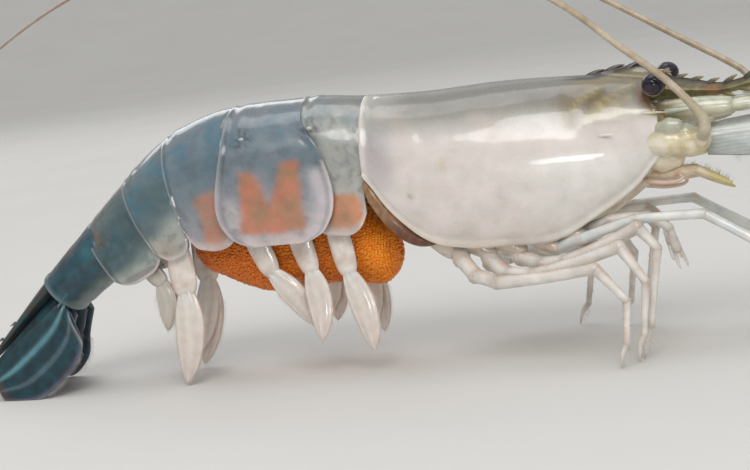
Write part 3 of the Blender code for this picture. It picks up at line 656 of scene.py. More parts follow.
def spine(root: Vector, tip: Vector, half: float, codes: tuple[str, str], lift: Vector = STRAIGHT,
        flat: float = 1.0) -> Piece:
    """Curved, tapering spine from a root to a sharp tip.

    Args:
        root: Its root, sunk in what carries it.
        tip: Its tip.
        half: Radius at the root.
        codes: Colours of root and tip.
        lift: How far its middle stands off the straight line.
        flat: Height over width at the root.

    Returns:
        The piece.
    """
    shares = (0, 0.2, 0.45, 0.7, 0.88, 1)
    path = [root.lerp(tip, share) + lift * (4 * share * (1 - share)) for share in shares]
    sizes = [half * (1.0 - share) ** 0.8 + 0.05 for share in shares]
    return skin("spine", ring_rows(path, sizes, [size * flat for size in sizes], LEFTWARD, 10),
        lambda point, around, share: layered(codes[0], (codes[1], smooth(share * 1.2 - 0.15))))


def off_line(x: float, z: float, line: Places) -> float:
    """Distance in the X-Z plane from a place to a chain of straight runs."""
    best = 1e9
    for (x0, z0), (x1, z1) in zip(line, line[1:]):
        run, rise = x1 - x0, z1 - z0
        share = min(max(((x - x0) * run + (z - z0) * rise) / (run * run + rise * rise), 0.0), 1.0)
        best = min(best, hypot(x - x0 - run * share, z - z0 - rise * share))
    return best


def within(x: float, z: float, corners: Places, soft: float) -> float:
    """How far inside an outline in the X-Z plane a place is, from 0 well outside to 1 well inside.

    Args:
        x: The place's x.
        z: The place's z.
        corners: The outline's corners in order.
        soft: Width of its blurred edge.

    Returns:
        The share.
    """
    inside = False
    ring = list(corners) + [corners[0]]
    for (x0, z0), (x1, z1) in zip(ring, ring[1:]):
        if (z0 > z) != (z1 > z) and x < x0 + (z - z0) / (z1 - z0) * (x1 - x0):
            inside = not inside
    reach = off_line(x, z, ring) * (1 if inside else -1)
    return smooth(0.5 + reach / soft)


def given(rows: dict) -> dict:
    """Default of a dataclass field that holds a table by key."""
    return field(default_factory=lambda: rows)


@dataclass
class SubAssembly:
    """Region of the animal: build() makes its pieces, and dress() finishes them in that order."""

    made: list[tuple[Piece, Finish, str, tuple[str, ...]]] = field(default_factory=list, init=False,
        repr=False)

    def add(self, piece: Piece, finish: Finish, slot: str, *nodes: str) -> None:
        """Keeps a piece with its finish, the record's slot and the plain nodes that it stands for."""
        self.made.append((piece, finish, slot, nodes))

    def build(self) -> None:
        """Makes the pieces."""
        raise NotImplementedError

    def dress(self) -> None:
        """Gives each piece its material, hides the solids it stands for and puts it on its body."""
        for piece, finish, slot, nodes in self.made:
            piece.data.materials.clear()
            piece.data.materials.append(material(finish))
            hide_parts(*nodes)
            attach(piece, "root")


# Head and chest


@dataclass
class Carapace(SubAssembly):
    """Vaulted shell over head and chest, with its keel, front spines and orbits."""

    front_x: float = 62.5
    back: Table = ((0, 59.2), (14, 58.7), (30, 59.0), (46, 58.3), (55, 57.4), (62.5, 56.2))
    wide_level: Table = ((0, 45.5), (12, 42.5), (32, 41.5), (48, 41.0), (56, 41.6), (62.5, 44.0))
    half: Table = ((0, 13.3), (8, 14.4), (20, 15.2), (33, 15.1), (45, 13.7), (55, 11.8), (62.5, 9.6))
    margin: Table = ((0, 43.0), (5.6, 34.3), (12.5, 27.8), (20, 25.5), (30, 24.9), (39.5, 25.2), (48, 29.2),
        (56.5, 34.4), (62.5, 40.6))
    margin_half: Table = ((0, 13.1), (6, 12.9), (12, 12.0), (20, 11.1), (35, 10.3), (45, 9.7), (55, 8.7),
        (62.5, 7.8))
    keel: Table = ((43, 57.8), (46, 57.9), (51, 58.6), (56, 59.2), (60, 59.0), (62.5, 57.7))
    crest_teeth: tuple[float, ...] = (49.5, 53.6, 58.0)
    orbit_centre: Place = (64.6, 9.5, 57.4)
    orbit_radii: Place = (6.6, 6.3, 7.9)
    recess: float = 4.6
    # Relief and colour lines on the flank, as (x, z)
    orbit_ridge: tuple = ((65, 49.4), (60.5, 49.9), (56.5, 50.3), (52.5, 50.0), (48.5, 49.2))
    liver_groove: tuple = ((57, 46.6), (52, 45.8), (47.5, 46.2), (44.6, 48.6), (43.6, 52.0), (44.4, 55.0))
    gill_groove: tuple = ((44.0, 48.5), (36, 50.6), (26, 51.6), (14, 51.2))
    wrinkles: tuple = (((58, 55.4), (54, 54.0), (50.4, 52.4)), ((57.4, 53.2), (53, 52.4), (49.4, 51.0)),
        ((51, 55.6), (47.6, 54.2), (45.6, 52.2)), ((55.4, 51.6), (51.6, 51.2), (48, 50.2)))

    def relief(self, x: float, z: float, edge: float) -> float:
        """How far the shell stands out from its plain vault, at a distance from its lower edge."""
        out = 0.20 * hill(edge - 0.45, 0.42) - 0.14 * hill(edge - 1.6, 0.6)
        out += 0.18 * hill(x - 0.5, 0.5) - 0.16 * hill(x - 1.9, 0.7)
        out += 0.36 * hill(off_line(x, z, self.orbit_ridge), 0.7)
        out -= 0.10 * hill(off_line(x, z, self.liver_groove), 1.4)
        out -= 0.14 * hill(off_line(x, z, self.gill_groove), 1.6)
        for line in self.wrinkles:
            out += 0.16 * hill(off_line(x, z, line), 0.45)
        out += 0.07 * ruffle(Vector((x * 0.6, 0, z)), 6.0) * ramp(58 - z, 6)
        return out

    def ring(self, x: float) -> Path:
        """Cross-section of the shell from the back's middle down the right flank and up the left."""
        top, wide, low = at(self.back, x), at(self.wide_level, x), at(self.margin, x)
        half, low_half = at(self.half, x), at(self.margin_half, x)
        lift = max(0.0, at(self.keel, x) - top) * ramp(x - 43, 4)
        side = []
        for k in range(27):
            turn = radians(90) * (k / 26) ** 1.35
            y, z = half * sin(turn), wide + (top - wide) * cos(turn)
            side.append((y, z + lift * hill(y, 1.05), sin(turn), cos(turn)))
        for k in range(1, 27):
            share = k / 26
            y, z = low_half + (half - low_half) * (1 - share ** 2.2), wide - (wide - low) * share
            side.append((y, z, 1.0, -0.35 * share))
        points = []
        for y, z, across, up in side:
            edge = abs(z - low) if z < wide else FAR_OFF
            out = self.relief(x, z, edge) if y > 1.5 else 0.0
            points.append((y + across * out, z + up * out))
        points += [(low_half - 0.5, low - 0.05), (low_half - 1.0, low + 0.3), (low_half - 1.5, low + 2.4),
            (low_half * 0.5, low + 3.6)]
        right = [Vector((x, -y, z)) for y, z in points]
        left = [Vector((x, y, z)) for y, z in reversed(points[1:])]
        return right + [Vector((x, 0, low + 4.0))] + left

    @staticmethod
    def inset(ring: Sequence[Vector], x: float, amount: float) -> Path:
        """Ring drawn in towards its middle and set at another x."""
        middle = (min(p.z for p in ring) + max(p.z for p in ring)) / 2
        drawn = []
        for point in ring:
            inward = Vector((0, -point.y, middle - point.z))
            step = min(amount, inward.length * 0.9)
            moved = point + inward.normalized() * step
            drawn.append(Vector((x, moved.y, moved.z)))
        return drawn

    def orbit_share(self, point: Vector) -> float:
        """Distance from the nearer orbit's centre, 1 being its wall."""
        centre, radii = self.orbit_centre, self.orbit_radii
        parts = ((point.x - centre[0]) / radii[0], (abs(point.y) - centre[1]) / radii[1],
            (point.z - centre[2]) / radii[2])
        return sqrt(sum(part * part for part in parts))

    def colour(self, point: Vector, around: float, share: float) -> Colour:
        """Pale pinkish cream, greyer above with painted shade along the top of the back, olive and wrinkled
        behind the eye, white along its front edge.
        """
        x, y, z = point.x, abs(point.y), point.z
        look = layered(
            "#E1D8D3", ("#A3A199", ramp(z - 46.0, 8.5)),
            ("#E6E4DF", 0.75 * ramp(x - 26, 16) * ramp(46.5 - z, 7)),
            ("#D0BDB2", 0.3 * smooth(ruffle(point, 11.0) * 2) * ramp(40 - x, 12)),
            ("#9F9AA2", 0.6 * ramp(10 - x, 6) * hill(z - 46, 7.0)),
            # Painted shade: dark grey along the top of the back, behind the head.
            ("#6A665C", 0.7 * ramp(z - 52, 4) * ramp(x - 4, 8)))
        patch = exp(-((x - 50.5) / 7.4) ** 2 - ((z - 53.4) / 2.9) ** 2)
        look = layered(
            look, ("#6E5E38", min(1.0, 1.1 * patch * (0.85 + 0.5 * ruffle(point, 2.0)))),
            ("#8C7C52", 0.8 * ramp(x - 42, 8) * ramp(z - 55.2, 1.6)),
            ("#7E6A48", 0.6 * hill(x - 45.2, 1.3) * ramp(z - 47.5, 2) * ramp(56 - z, 2)))
        for line in self.wrinkles:
            look = blend(look, linear("#C0B184"), 0.55 * hill(off_line(x, z, line), 0.45))
        look = layered(
            look, ("#E2DABF", 0.6 * hill(off_line(x, z, self.orbit_ridge), 0.7)),
            ("#8A7C5A", 0.3 * hill(off_line(x, z, self.liver_groove), 0.9) * ramp(z - 45.5, 3)))
        if y < 4.0:
            look = blend(look, linear("#24170A"), 0.97 * ramp(x - 42, 5)
                * ramp(z - at(self.keel, x) + 1.6, 0.8))
        edge = z - at(self.margin, x)
        look = layered(
            look, ("#F6F2EA", 0.9 * ramp(x - 34, 10) * hill(edge - 0.3, 0.8)),
            ("#E2D3BC", 0.6 * ramp(34 - x, 10) * hill(edge - 0.3, 0.9)),
            ("#E8E2D8", 0.6 * hill(x - 0.5, 0.8)),
            ("#EFEAE2", 0.8 * hill(x - self.front_x, 1.0) * ramp(50 - z, 3)),
            ("#8A8062", 0.9 * hill(hypot(x - 10.3, z - 37.8), 0.45)),
            ("#C9B88A", 0.5 * hill(hypot(x - 17.9, z - 43.7), 1.2)))
        wall = self.orbit_share(point)
        look = blend(look, linear("#7C5E40"), 0.85 * hill((wall - 1.0) * 6.0, 0.9) * ramp(x - 56, 2))
        return look

    def build(self) -> None:
        """Makes the shell, hollow at both ends, cuts the orbits and sets the spines."""
        inner = [self.inset(self.ring(0.4), x, amount) for x, amount in
            ((3.6, 3.0), (3.2, 1.5), (1.0, 0.95), (0.25, 0.7), (0.0, 0.35))]
        xs = [0.15, 0.4, 0.75, 1.2] + [1.8 + 0.75 * k for k in range(81)]
        rows = inner + [self.ring(x) for x in xs if x < self.front_x - 0.2] + [self.ring(self.front_x - 0.12)]
        last = self.ring(self.front_x)
        rows.append(self.inset(last, self.front_x, 0.12))
        rows += [self.inset(last, self.front_x - back, amount) for back, amount in
            ((0.0, 0.45), (0.25, 0.75), (self.recess - 0.5, 1.0), (self.recess, 2.6))]
        shell = skin("carapace_shell", rows, self.colour)
        for side in Side:
            pick()
            place = side.put(self.orbit_centre) * MM + AXIS
            bpy.ops.mesh.primitive_uv_sphere_add(segments=48, ring_count=32, radius=1.0, location=place)
            ball = bpy.context.object
            ball.scale = [radius * MM for radius in self.orbit_radii]
            bpy.ops.object.transform_apply(location=True, rotation=True, scale=True)
            pick(shell)
            cut = shell.modifiers.new("orbit", "BOOLEAN")
            cut.operation = "DIFFERENCE"
            cut.object = ball
            cut.solver = "EXACT"
            bpy.ops.object.modifier_apply(modifier=cut.name)
            bpy.data.objects.remove(ball)
        bpy.ops.object.shade_smooth_by_angle(angle=SMOOTH_CUT)
        paint_by_place(shell, self.colour)
        spines = []
        for side in Side:
            spines.append(spine(side.put((57.6, 8.5, 49.5)), side.put((65.0, 9.7, 49.3)), 0.8,
                ("#DCD2BA", "#C7B78C"), UP * 0.15, 0.75))
            spines.append(spine(side.put((50.0, 11.4, 46.0)), side.put((53.6, 12.6, 46.2)), 0.5,
                ("#DDD8CE", "#EFE7D6"), side.put((0, 0.2, 0.1))))
        for x in self.crest_teeth:
            top = at(self.keel, x)
            spines.append(spine(Vector((x - 1.2, 0, top - 0.8)), Vector((x + 2.6, 0, top + 0.45)), 0.7,
                ("#1F150B", "#3A2B18"), UP * 0.3, 1.1))
        self.add(joined([shell] + spines, "carapace_shell"), CARAPACE_SHELL, "carapace_shell", "carapace")


@dataclass
class Chest(SubAssembly):
    """Soft front of the head between the feelers, the keel that carries the legs, and the hind membrane."""

    front: Table = ((54.0, 8.6), (58, 8.9), (61.5, 8.4), (64.2, 6.6), (66.2, 3.6))
    sternum_half: Table = ((0.6, 8.6), (12, 7.4), (16, 6.2), (28, 5.2), (43, 4.4), (59, 3.2))
    sternum_low: Table = ((0.6, 34.6), (8, 29.4), (14, 26.4), (42, 26.4), (50, 28.6), (55, 31.6), (59, 34.4))
    margin: Table = Carapace.margin
    leg_roots: tuple[float, ...] = (43.5, 36.2, 28.6, 22.2, 16.2)

    def plate(self, point: Vector, around: float, share: float) -> Colour:
        """Cream keel with yellow between the leg roots."""
        return layered(
            "#E2D9C8", ("#C2AA84", 0.4 + 0.8 * ruffle(point, 2.6)), ("#E3D8BE", 0.85 * ramp(point.x - 58, 3)),
            ("#8A5A3A", 0.7 * ramp(10 - point.x, 8)))

    def build(self) -> None:
        """Makes the soft front, the keel and the membrane."""
        rows = []
        for k in range(26):
            x = 54.0 + 12.2 * k / 25
            half = at(self.front, x)
            middle = 46.4 - 0.25 * (x - 54) * ramp(x - 60, 6)
            tall = half * (0.62 - 0.04 * ramp(x - 60, 5))
            ring = []
            for turn in turns(32):
                bump = 1 + 0.05 * ruffle(Vector((x, 9 * sin(turn), 9 * cos(turn))), 3.0)
                ring.append(Vector((x, half * bump * sin(turn), middle + tall * bump * cos(turn))))
            rows.append(ring)
        self.add(skin("head_front", rows, mottled("#D8C7A4", "#8E7350", 0.5, 0.9, 2.4)), MEMBRANE,
            "limb_shell", "head")
        rows = []
        for k in range(72):
            x = 1.0 + 58.0 * k / 71
            root = max(hill(x - place, 1.7) for place in self.leg_roots)
            half = (at(self.sternum_half, x) + 1.1 * root) * (1 - 0.55 * ramp(x - 53, 6))
            top = at(self.margin, x) + 3.7
            keel = min(at(self.margin, x), at(self.sternum_low, x)) - 0.5 - 0.3 * root
            ring = []
            for turn in turns(28):
                y = half * sin(turn) * (1 - 0.3 * smooth(-cos(turn)))
                ring.append(Vector((x, y, (top + keel) / 2 + (top - keel) / 2 * cos(turn))))
            rows.append(ring)
        keel = skin("chest_keel", rows, self.plate)
        lumps = []
        for side in Side:
            for start, end, size in (((55.5, 3.0, 37.0), (61.0, 3.2, 38.8), 2.6),
                    ((51.0, 4.4, 33.6), (56.0, 4.8, 36.0), 1.9), ((47.6, 4.6, 31.0), (52.0, 5.4, 32.8), 1.6),
                    ((60.0, 5.0, 39.4), (65.0, 5.9, 39.4), 2.9)):
                sizes = ((0, size * 0.7), (0.5, size), (1, size * 0.75))
                lumps.append(article(side.put(start), side.put(end), sizes, self.plate))
            for x in self.leg_roots:
                lumps.append(article(side.put((x - 3.0, 7.0, 27.0)), side.put((x + 2.2, 7.6, 23.6)),
                    ((0, 2.0), (0.5, 2.3), (1, 1.8)), mottled("#E6DED4", "#C4B09A", 0.4, 0.8, 2.0)))
        self.add(joined([keel] + lumps, "chest_keel"), LIMB_SHELL, "limb_shell", "sternum")
        for side in Side:
            path = curve([side.put(p) for p in ((-0.6, 10.6, 42.4), (2.2, 11.0, 37.0), (6.0, 10.8, 31.6),
                (10.4, 9.8, 27.9), (15.5, 8.8, 27.2))], 60)
            sizes = sized(((0, 0.9), (0.25, 1.7), (0.6, 1.9), (0.85, 1.1), (1, 0.2)), path)

            def paint(point: Vector, around: float, share: float) -> Colour:
                """Brownish beige above with fine folds, and dark red below that is painted shadow in the gap
                under the shell.
                """
                fold = ruffle(Vector((point.x * 1.6, point.y, point.z * 1.6)), 2.0)
                return layered(
                    "#B5946A", ("#8A5E3A", 0.5 + 0.9 * fold),
                    # Painted shadow: dark red over the lower part of the membrane, in the gap above the eggs.
                    ("#5E2412", 0.9 * ramp(share - 0.28, 0.3) * smooth(0.9 - fold)))

            self.add(skin(f"hind_membrane_{side.label}", ring_rows(path, sizes, sizes, FORWARD, 22), paint),
                MEMBRANE, "limb_shell")


@dataclass
class Rostrum(SubAssembly):
    """Toothed beak, dipping before the eyes and rising to its tip."""

    top: Table = ((56, 57.9), (59.5, 58.8), (62.6, 57.6), (66, 55.9), (70, 54.9), (75, 53.6), (80, 54.1),
        (90, 56.8), (101, 61.2), (112, 66.4))
    low: Table = ((56, 51.5), (62.8, 51.3), (67, 51.0), (71, 50.9), (75, 51.0), (80, 51.7), (90, 54.4),
        (101, 59.3), (112, 65.9))
    half: Table = ((56, 2.2), (60, 2.5), (63.5, 2.2), (68, 1.6), (74, 1.2), (90, 0.8), (112, 0.35))
    section: Table = ((0, 0.1), (0.1, 0.3), (0.33, 0.6), (0.48, 0.86), (0.56, 1.0), (0.64, 0.82),
        (0.8, 0.45), (0.92, 0.28), (1, 0.1))
    upper_teeth: tuple[float, ...] = (63.4, 66.8, 70.0, 73.2, 76.8, 81.2, 87.0, 104.5, 107.5)
    lower_teeth: tuple[float, ...] = (76.0, 79.5, 83.0, 86.5, 90.0, 93.7, 97.5, 101.5, 105.5)
    reach: float = 2.3

    def colour(self, point: Vector, around: float, share: float) -> Colour:
        """Olive brown, dark along the top, with a pale side ridge and one orange-red spot."""
        x, z = point.x, point.z
        top, low = at(self.top, x), at(self.low, x)
        depth = (top - z) / max(top - low, 0.1)
        look = layered(
            "#75683A", ("#8F8C5C", smooth(depth * 1.3 - 0.3)), ("#33261A", 0.9 * ramp(0.34 - depth, 0.25)),
            ("#B3A871", 0.75 * hill(depth - 0.56, 0.1)), ("#5A3A22", 0.6 * ramp(x - 88, 14)),
            ("#8E4A0E", 0.9 * exp(-((x - 73.7) / 2.0) ** 2 - ((z - 52.3) / 0.9) ** 2)))
        return blend(look, linear("#3E3320"), 0.3 + 0.5 * ruffle(point, 1.8)) if depth < 0.9 else look

    def build(self) -> None:
        """Makes the blade with its teeth, and the hairs between them."""
        rows = []
        for k in range(96):
            x = 56 + 56 * k / 95
            top, low, half = at(self.top, x), at(self.low, x), at(self.half, x)
            shares = [n / 14 for n in range(15)]
            ring = [Vector((x, -half * at(self.section, share), top - (top - low) * share))
                for share in shares]
            ring += [Vector((x, -point.y, point.z)) for point in reversed(ring)]
            rows.append(ring)
        pieces = [skin("rostrum_blade", rows, self.colour)]
        dark, pale = "#2E2214", "#A99C74"
        for x in self.upper_teeth:
            top = at(self.top, x)
            tip = at(self.top, x + self.reach) + 1.1
            pieces.append(spine(Vector((x - 0.5, 0, top - 0.8)), Vector((x + self.reach, 0, tip - 0.25)),
                0.55, (dark, pale), Vector((-0.1, 0, 0.25)), 1.4))
        for x in self.lower_teeth:
            low = at(self.low, x)
            tip = at(self.low, x + self.reach) - 0.9
            pieces.append(spine(Vector((x - 0.2, 0, low + 0.8)), Vector((x + self.reach, 0, tip)), 0.52,
                ("#7E774C", pale), Vector((-0.1, 0, -0.2)), 1.5))
        self.add(joined(pieces, "rostrum_blade"), ROSTRUM_SHELL, "rostrum_shell", "rostrum")
        dice = random.Random(11)
        hairs = []
        for k in range(150):
            x = 69 + 38 * k / 150 + dice.uniform(-0.1, 0.1)
            root = Vector((x, dice.uniform(-0.15, 0.15), at(self.low, x) + 0.1))
            hairs.append((root, root + Vector((0.7, dice.uniform(-0.25, 0.25), -dice.uniform(0.7, 1.1)))))
        self.add(bristles("rostrum_hairs", hairs, 0.045, "#A3946A"), BRISTLE, "rostrum_shell")


@dataclass
class Eyes(SubAssembly):
    """Round dark eyes on short stalks in the orbits."""

    radius: float = 2.4
    stretch: Place = (1.04, 1.0, 0.97)
    centres: dict[Side, Place] = given({Side.RIGHT: (62.5, 9.6, 55.3), Side.LEFT: (64.2, 9.4, 56.2)})
    roots: dict[Side, Place] = given({Side.RIGHT: (61.4, 3.4, 53.6), Side.LEFT: (61.6, 3.4, 53.6)})

    def build(self) -> None:
        """Makes each eye and its stalk."""
        for side in Side:
            centre, root = side.put(self.centres[side]), side.put(self.roots[side])
            outward = (centre - root).normalized()

            def lens(point: Vector, around: float, share: float) -> Colour:
                """Near black, with a purple sheen above and brown where it joins its stalk."""
                rise = (point - centre).dot(outward) / self.radius
                return layered(
                    "#130D18", ("#3A2448", 0.5 * smooth(0.4 + ruffle(point, 1.4))),
                    ("#4A3224", 0.8 * ramp(-0.45 - rise, 0.3)))

            pick()
            bpy.ops.mesh.primitive_uv_sphere_add(segments=40, ring_count=28, radius=self.radius * MM,
                location=centre * MM + AXIS, rotation=outward.to_track_quat("Z", "Y").to_euler())
            self.add(stretched(f"eye_ball_{side.label}", centre, self.stretch, lens), EYE_LENS, "eye",
                f"eye_{side.label}")
            path = curve([root, root.lerp(centre, 0.4) - UP * 0.3, centre - outward * 1.6], 20)
            sizes = sized(((0, 1.5), (0.25, 1.3), (0.6, 1.5), (0.82, 2.05), (0.93, 2.1), (1, 1.7)), path)

            def stalk(point: Vector, around: float, share: float) -> Colour:
                """Brown with a pale collar under the eye."""
                return layered(
                    "#9A7450", ("#5E4230", 0.5 + 0.8 * ruffle(point, 1.1)),
                    ("#CDB797", 0.6 * hill(share - 0.9, 0.08)))

            self.add(tube(f"eye_stalk_{side.label}", path, sizes, stalk, 20, FORWARD), LIMB_SHELL,
                "limb_shell", f"eyestalk_{side.label}")


@dataclass
class Antennules(SubAssembly):
    """First feelers: a flattened three-part stem with two long whips and a short one."""

    articles: tuple = (((61.5, 3.3, 49.2), (76.6, 3.8, 49.0), ((0, 1.8), (0.3, 2.2), (0.7, 2.3), (1, 1.9)),
        1.02),
        ((77.6, 3.8, 48.9), (81.2, 3.8, 49.0), ((0, 1.6), (0.5, 1.75), (1, 1.6)), 0.85),
        ((82.0, 3.8, 49.1), (86.4, 3.7, 49.3), ((0, 1.4), (0.5, 1.6), (1, 1.35)), 0.85))
    whips: tuple = (((86, 4.6, 49.6), (100, 8, 54), (116, 14, 62), (132, 22, 74)),
        ((86, 2.6, 49.2), (100, 4, 51), (118, 8, 54), (138, 12, 55)),
        ((86, 4.9, 48.2), (96, 8.5, 49.5), (106, 13, 52)))
    whip_radii: Table = ((0, 0.58), (0.5, 0.44), (1, 0.2))

    @staticmethod
    def colour(point: Vector, around: float, share: float) -> Colour:
        """Pale greenish white with teal glints and a yellow underside."""
        return layered(
            "#D8D6C2", ("#A0A892", 0.35 + 0.9 * ruffle(point, 2.6)),
            ("#8C7A50", 0.75 * ramp(69.5 - point.x, 5)), ("#C6BC8A", 0.5 * ramp(48.6 - point.z, 1.2)),
            ("#B5A27C", 0.5 * (hill(share, 0.12) + hill(share - 1, 0.12))))

    @staticmethod
    def whip_colour(point: Vector, around: float, share: float) -> Colour:
        """Greenish beige, banded finely."""
        band = 0.5 + 0.5 * sin(point.x * 7.0)
        return blend(linear("#9AA08A"), linear("#6E6A52"), 0.3 + 0.4 * band)

    def build(self) -> None:
        """Makes both stems and their whips."""
        for side in Side:
            pieces = [article(side.put(start), side.put(end), radii, self.colour, squash,
                side=LEFTWARD) for start, end, radii, squash in self.articles]
            pieces.append(spine(side.put((64, 5.0, 49.0)), side.put((71, 6.2, 49.3)), 0.7,
                ("#BFC6B2", "#E6E2CE")))
            self.add(joined(pieces, f"antennule_stem_{side.label}"), LIMB_SHELL, "feeler_shell",
                f"antennule_{side.label}")
            whips = []
            for whip in self.whips:
                path = even(curve([side.put(point) for point in whip], 90), 0.55)
                sizes = [at(self.whip_radii, share) * (1 + 0.07 * (k % 2)) for k, (share, _) in
                    enumerate(spread(path))]
                whips.append(tube("whip", path, sizes, self.whip_colour, 8))
            self.add(joined(whips, f"antennule_whips_{side.label}"), FEELER_SHELL, "feeler_shell")


@dataclass
class Antennae(SubAssembly):
    """Second feelers: a stout base, a leaf-like scale, and a whip longer than the body."""

    # Start, end, radii and squash of the base's articles
    articles: tuple = (((61.6, 7.8, 43.4), (66.4, 7.9, 43.0), (2.9, 3.4, 3.1), 1.05),
        ((66.2, 8.0, 42.8), (70.6, 8.5, 42.4), (2.7, 3.1, 2.7), 1.05),
        ((63.2, 9.6, 46.3), (66.2, 10.2, 46.4), (1.4, 2.0, 1.6), 0.9),
        ((65.8, 9.0, 45.0), (69.4, 9.2, 44.2), (1.7, 2.3, 1.9), 0.9))
    outer: Places = ((72.0, 10.4, 39.9), (82, 13.4, 39.4), (93, 15.6, 40.8), (101, 15.8, 42.6))
    inner: Places = ((72.0, 6.3, 44.8), (80, 5.8, 45.6), (92, 6.2, 46.4), (102.4, 9.8, 46.2))
    whips: dict[Side, Places] = given({
        Side.RIGHT: ((71.8, 13.4, 47.8), (69.2, 13.6, 51.7), (64.4, 13.9, 57.2), (57.0, 14.4, 63.9),
                     (45.0, 15.4, 74.7), (23, 17.5, 89), (-4, 20.5, 100), (-34, 24.5, 104.92), (-64, 29, 103),
                     (-94, 34, 93), (-119, 38, 79), (-136, 41, 64)),
        Side.LEFT: ((76.0, 14.6, 46.2), (80.0, 15.4, 49.4), (80.6, 16.0, 53.4), (76.4, 16.8, 57.0),
                    (67.0, 18.0, 63.0), (51.6, 20.0, 73.0), (30, 23.0, 86), (4, 26.5, 95.5), (-26, 30.5, 99),
                    (-56, 34.5, 96), (-86, 38, 87), (-112, 40, 73), (-130, 41, 57))})
    whip_radii: Table = ((0, 1.35), (0.018, 1.2), (0.035, 0.9), (0.06, 0.8), (0.333, 0.58), (0.667, 0.4),
        (1, 0.22))
    knuckle: Places = ((70.0, 8.4, 42.6), (71.1, 11.2, 43.0), (71.6, 12.4, 44.2))

    @staticmethod
    def base_colour(point: Vector, around: float, share: float) -> Colour:
        """Creamy white to beige, greenish grey and glossy on top."""
        return layered(
            "#E3D8BE", ("#CDBE94", 0.4 + 0.8 * ruffle(point, 2.2)),
            ("#AEB2A0", 0.85 * ramp(point.z - 44.4, 1.4)),
            ("#EFE9DA", 0.7 * ramp(65.2 - point.x, 2.5) * ramp(44.6 - point.z, 1.0)),
            ("#B8AA78", 0.4 * ramp(41 - point.z, 1.5)))

    def scale_colour(self, point: Vector, around: float, share: float) -> Colour:
        """Silver grey with fine lengthwise streaks and a painted highlight along its rib, darker towards its
        edges.
        """
        streak = 0.5 + 0.5 * sin(9.0 * point.z + 3.0 * ruffle(point, 9.0))
        return layered(
            # The near-white band along the rib is a painted highlight.
            "#ACB0AB", ("#878E8A", 0.55 * streak), ("#E8E9E4", 0.6 * hill(point.z - 44.3, 0.7)),
            ("#7F7F62", 0.55 * hill(share, 0.06) + 0.3 * ramp(share - 0.85, 0.15)))

    @staticmethod
    def whip_colour(point: Vector, around: float, share: float) -> Colour:
        """Beige, redder towards the tip."""
        return layered(
            "#CDBFA8", ("#A8957A", 0.4 + 0.6 * ruffle(point, 4.0)),
            ("#C6C2A8", 0.7 * ramp(0.035 - share, 0.02)), ("#8A6A58", 0.6 * smooth(share)))

    def build(self) -> None:
        """Makes base, scale, fringe and whip on each side."""
        dice = random.Random(5)
        for side in Side:
            knuckle = [side.put(point) for point in self.knuckle]
            pieces = [article(side.put(start), side.put(end), tuple(zip((0, 0.5, 1), radii)),
                self.base_colour, squash) for start, end, radii, squash in self.articles]
            pieces.append(spine(side.put((66.5, 10.6, 43.4)), side.put((70.4, 12.0, 43.9)), 0.6,
                ("#D6C196", "#F0E8D4")))
            pieces += [article(start, end, tuple(zip((0, 0.5, 1), radii)), self.base_colour)
                for start, end, radii in zip(knuckle, knuckle[1:], ((1.7, 1.65, 1.45), (1.4, 1.25, 1.15)))]
            base = joined(pieces, f"antenna_base_{side.label}")
            fused(base, 0.24, 5)
            paint_by_place(base, self.base_colour)
            self.add(base, LIMB_SHELL, "limb_shell", f"antenna_{side.label}")
            outer, inner = [side.put(p) for p in self.outer], [side.put(p) for p in self.inner]
            rows = leaf_rows(outer, inner, (1.1, 0.6, 0.5, 0.32), 0.16, 44, 22, 0.3, 0.68)
            spur = spine(side.put((98.6, 15.75, 42.0)), side.put((103.0, 15.6, 43.2)), 0.42,
                ("#A9B2B2", "#E0DCCB"))
            self.add(joined([skin("scale", rows, self.scale_colour), spur], f"feeler_scale_{side.label}"),
                SCALE_SHELL, "scale_shell", f"antennal_scale_{side.label}")
            middle = side.put((86, 10.5, 43.2))
            edge = list(curve(outer, 20))[3:]
            tip = [outer[-1], (outer[-1] + inner[-1]) / 2 + Vector((0.5, 0, 0)), inner[-1]]
            hairs = fringe(edge, middle, 0.42, 2.1, 0.5, dice)
            hairs += fringe(tip, middle, 0.4, 2.2, 0.0, dice)
            hairs += fringe(inner[1:], middle, 0.45, 2.0, 0.6, dice)
            self.add(bristles(f"scale_fringe_{side.label}", hairs, 0.07, "#4A4438"), BRISTLE, "scale_shell")
            ahead = (knuckle[2] - knuckle[1]).normalized()
            whip = [knuckle[2] + ahead * 0.35, knuckle[2] + ahead * 2.0]
            whip += [side.put(point) for point in self.whips[side]]
            path = even(curve(whip, 600), 0.5)
            sizes = [at(self.whip_radii, share) * (1 if k % 2 else 0.93) for k, (share, _) in
                enumerate(spread(path))]
            path.insert(0, knuckle[2] - ahead * 0.6)
            sizes.insert(0, sizes[0])
            self.add(tube(f"feeler_whip_{side.label}", path, sizes, self.whip_colour, 10, LEFTWARD),
                FEELER_SHELL, "feeler_shell", *[f"flagellum_{side.label}_{part}" for part in (1, 2, 3)])


# Limbs


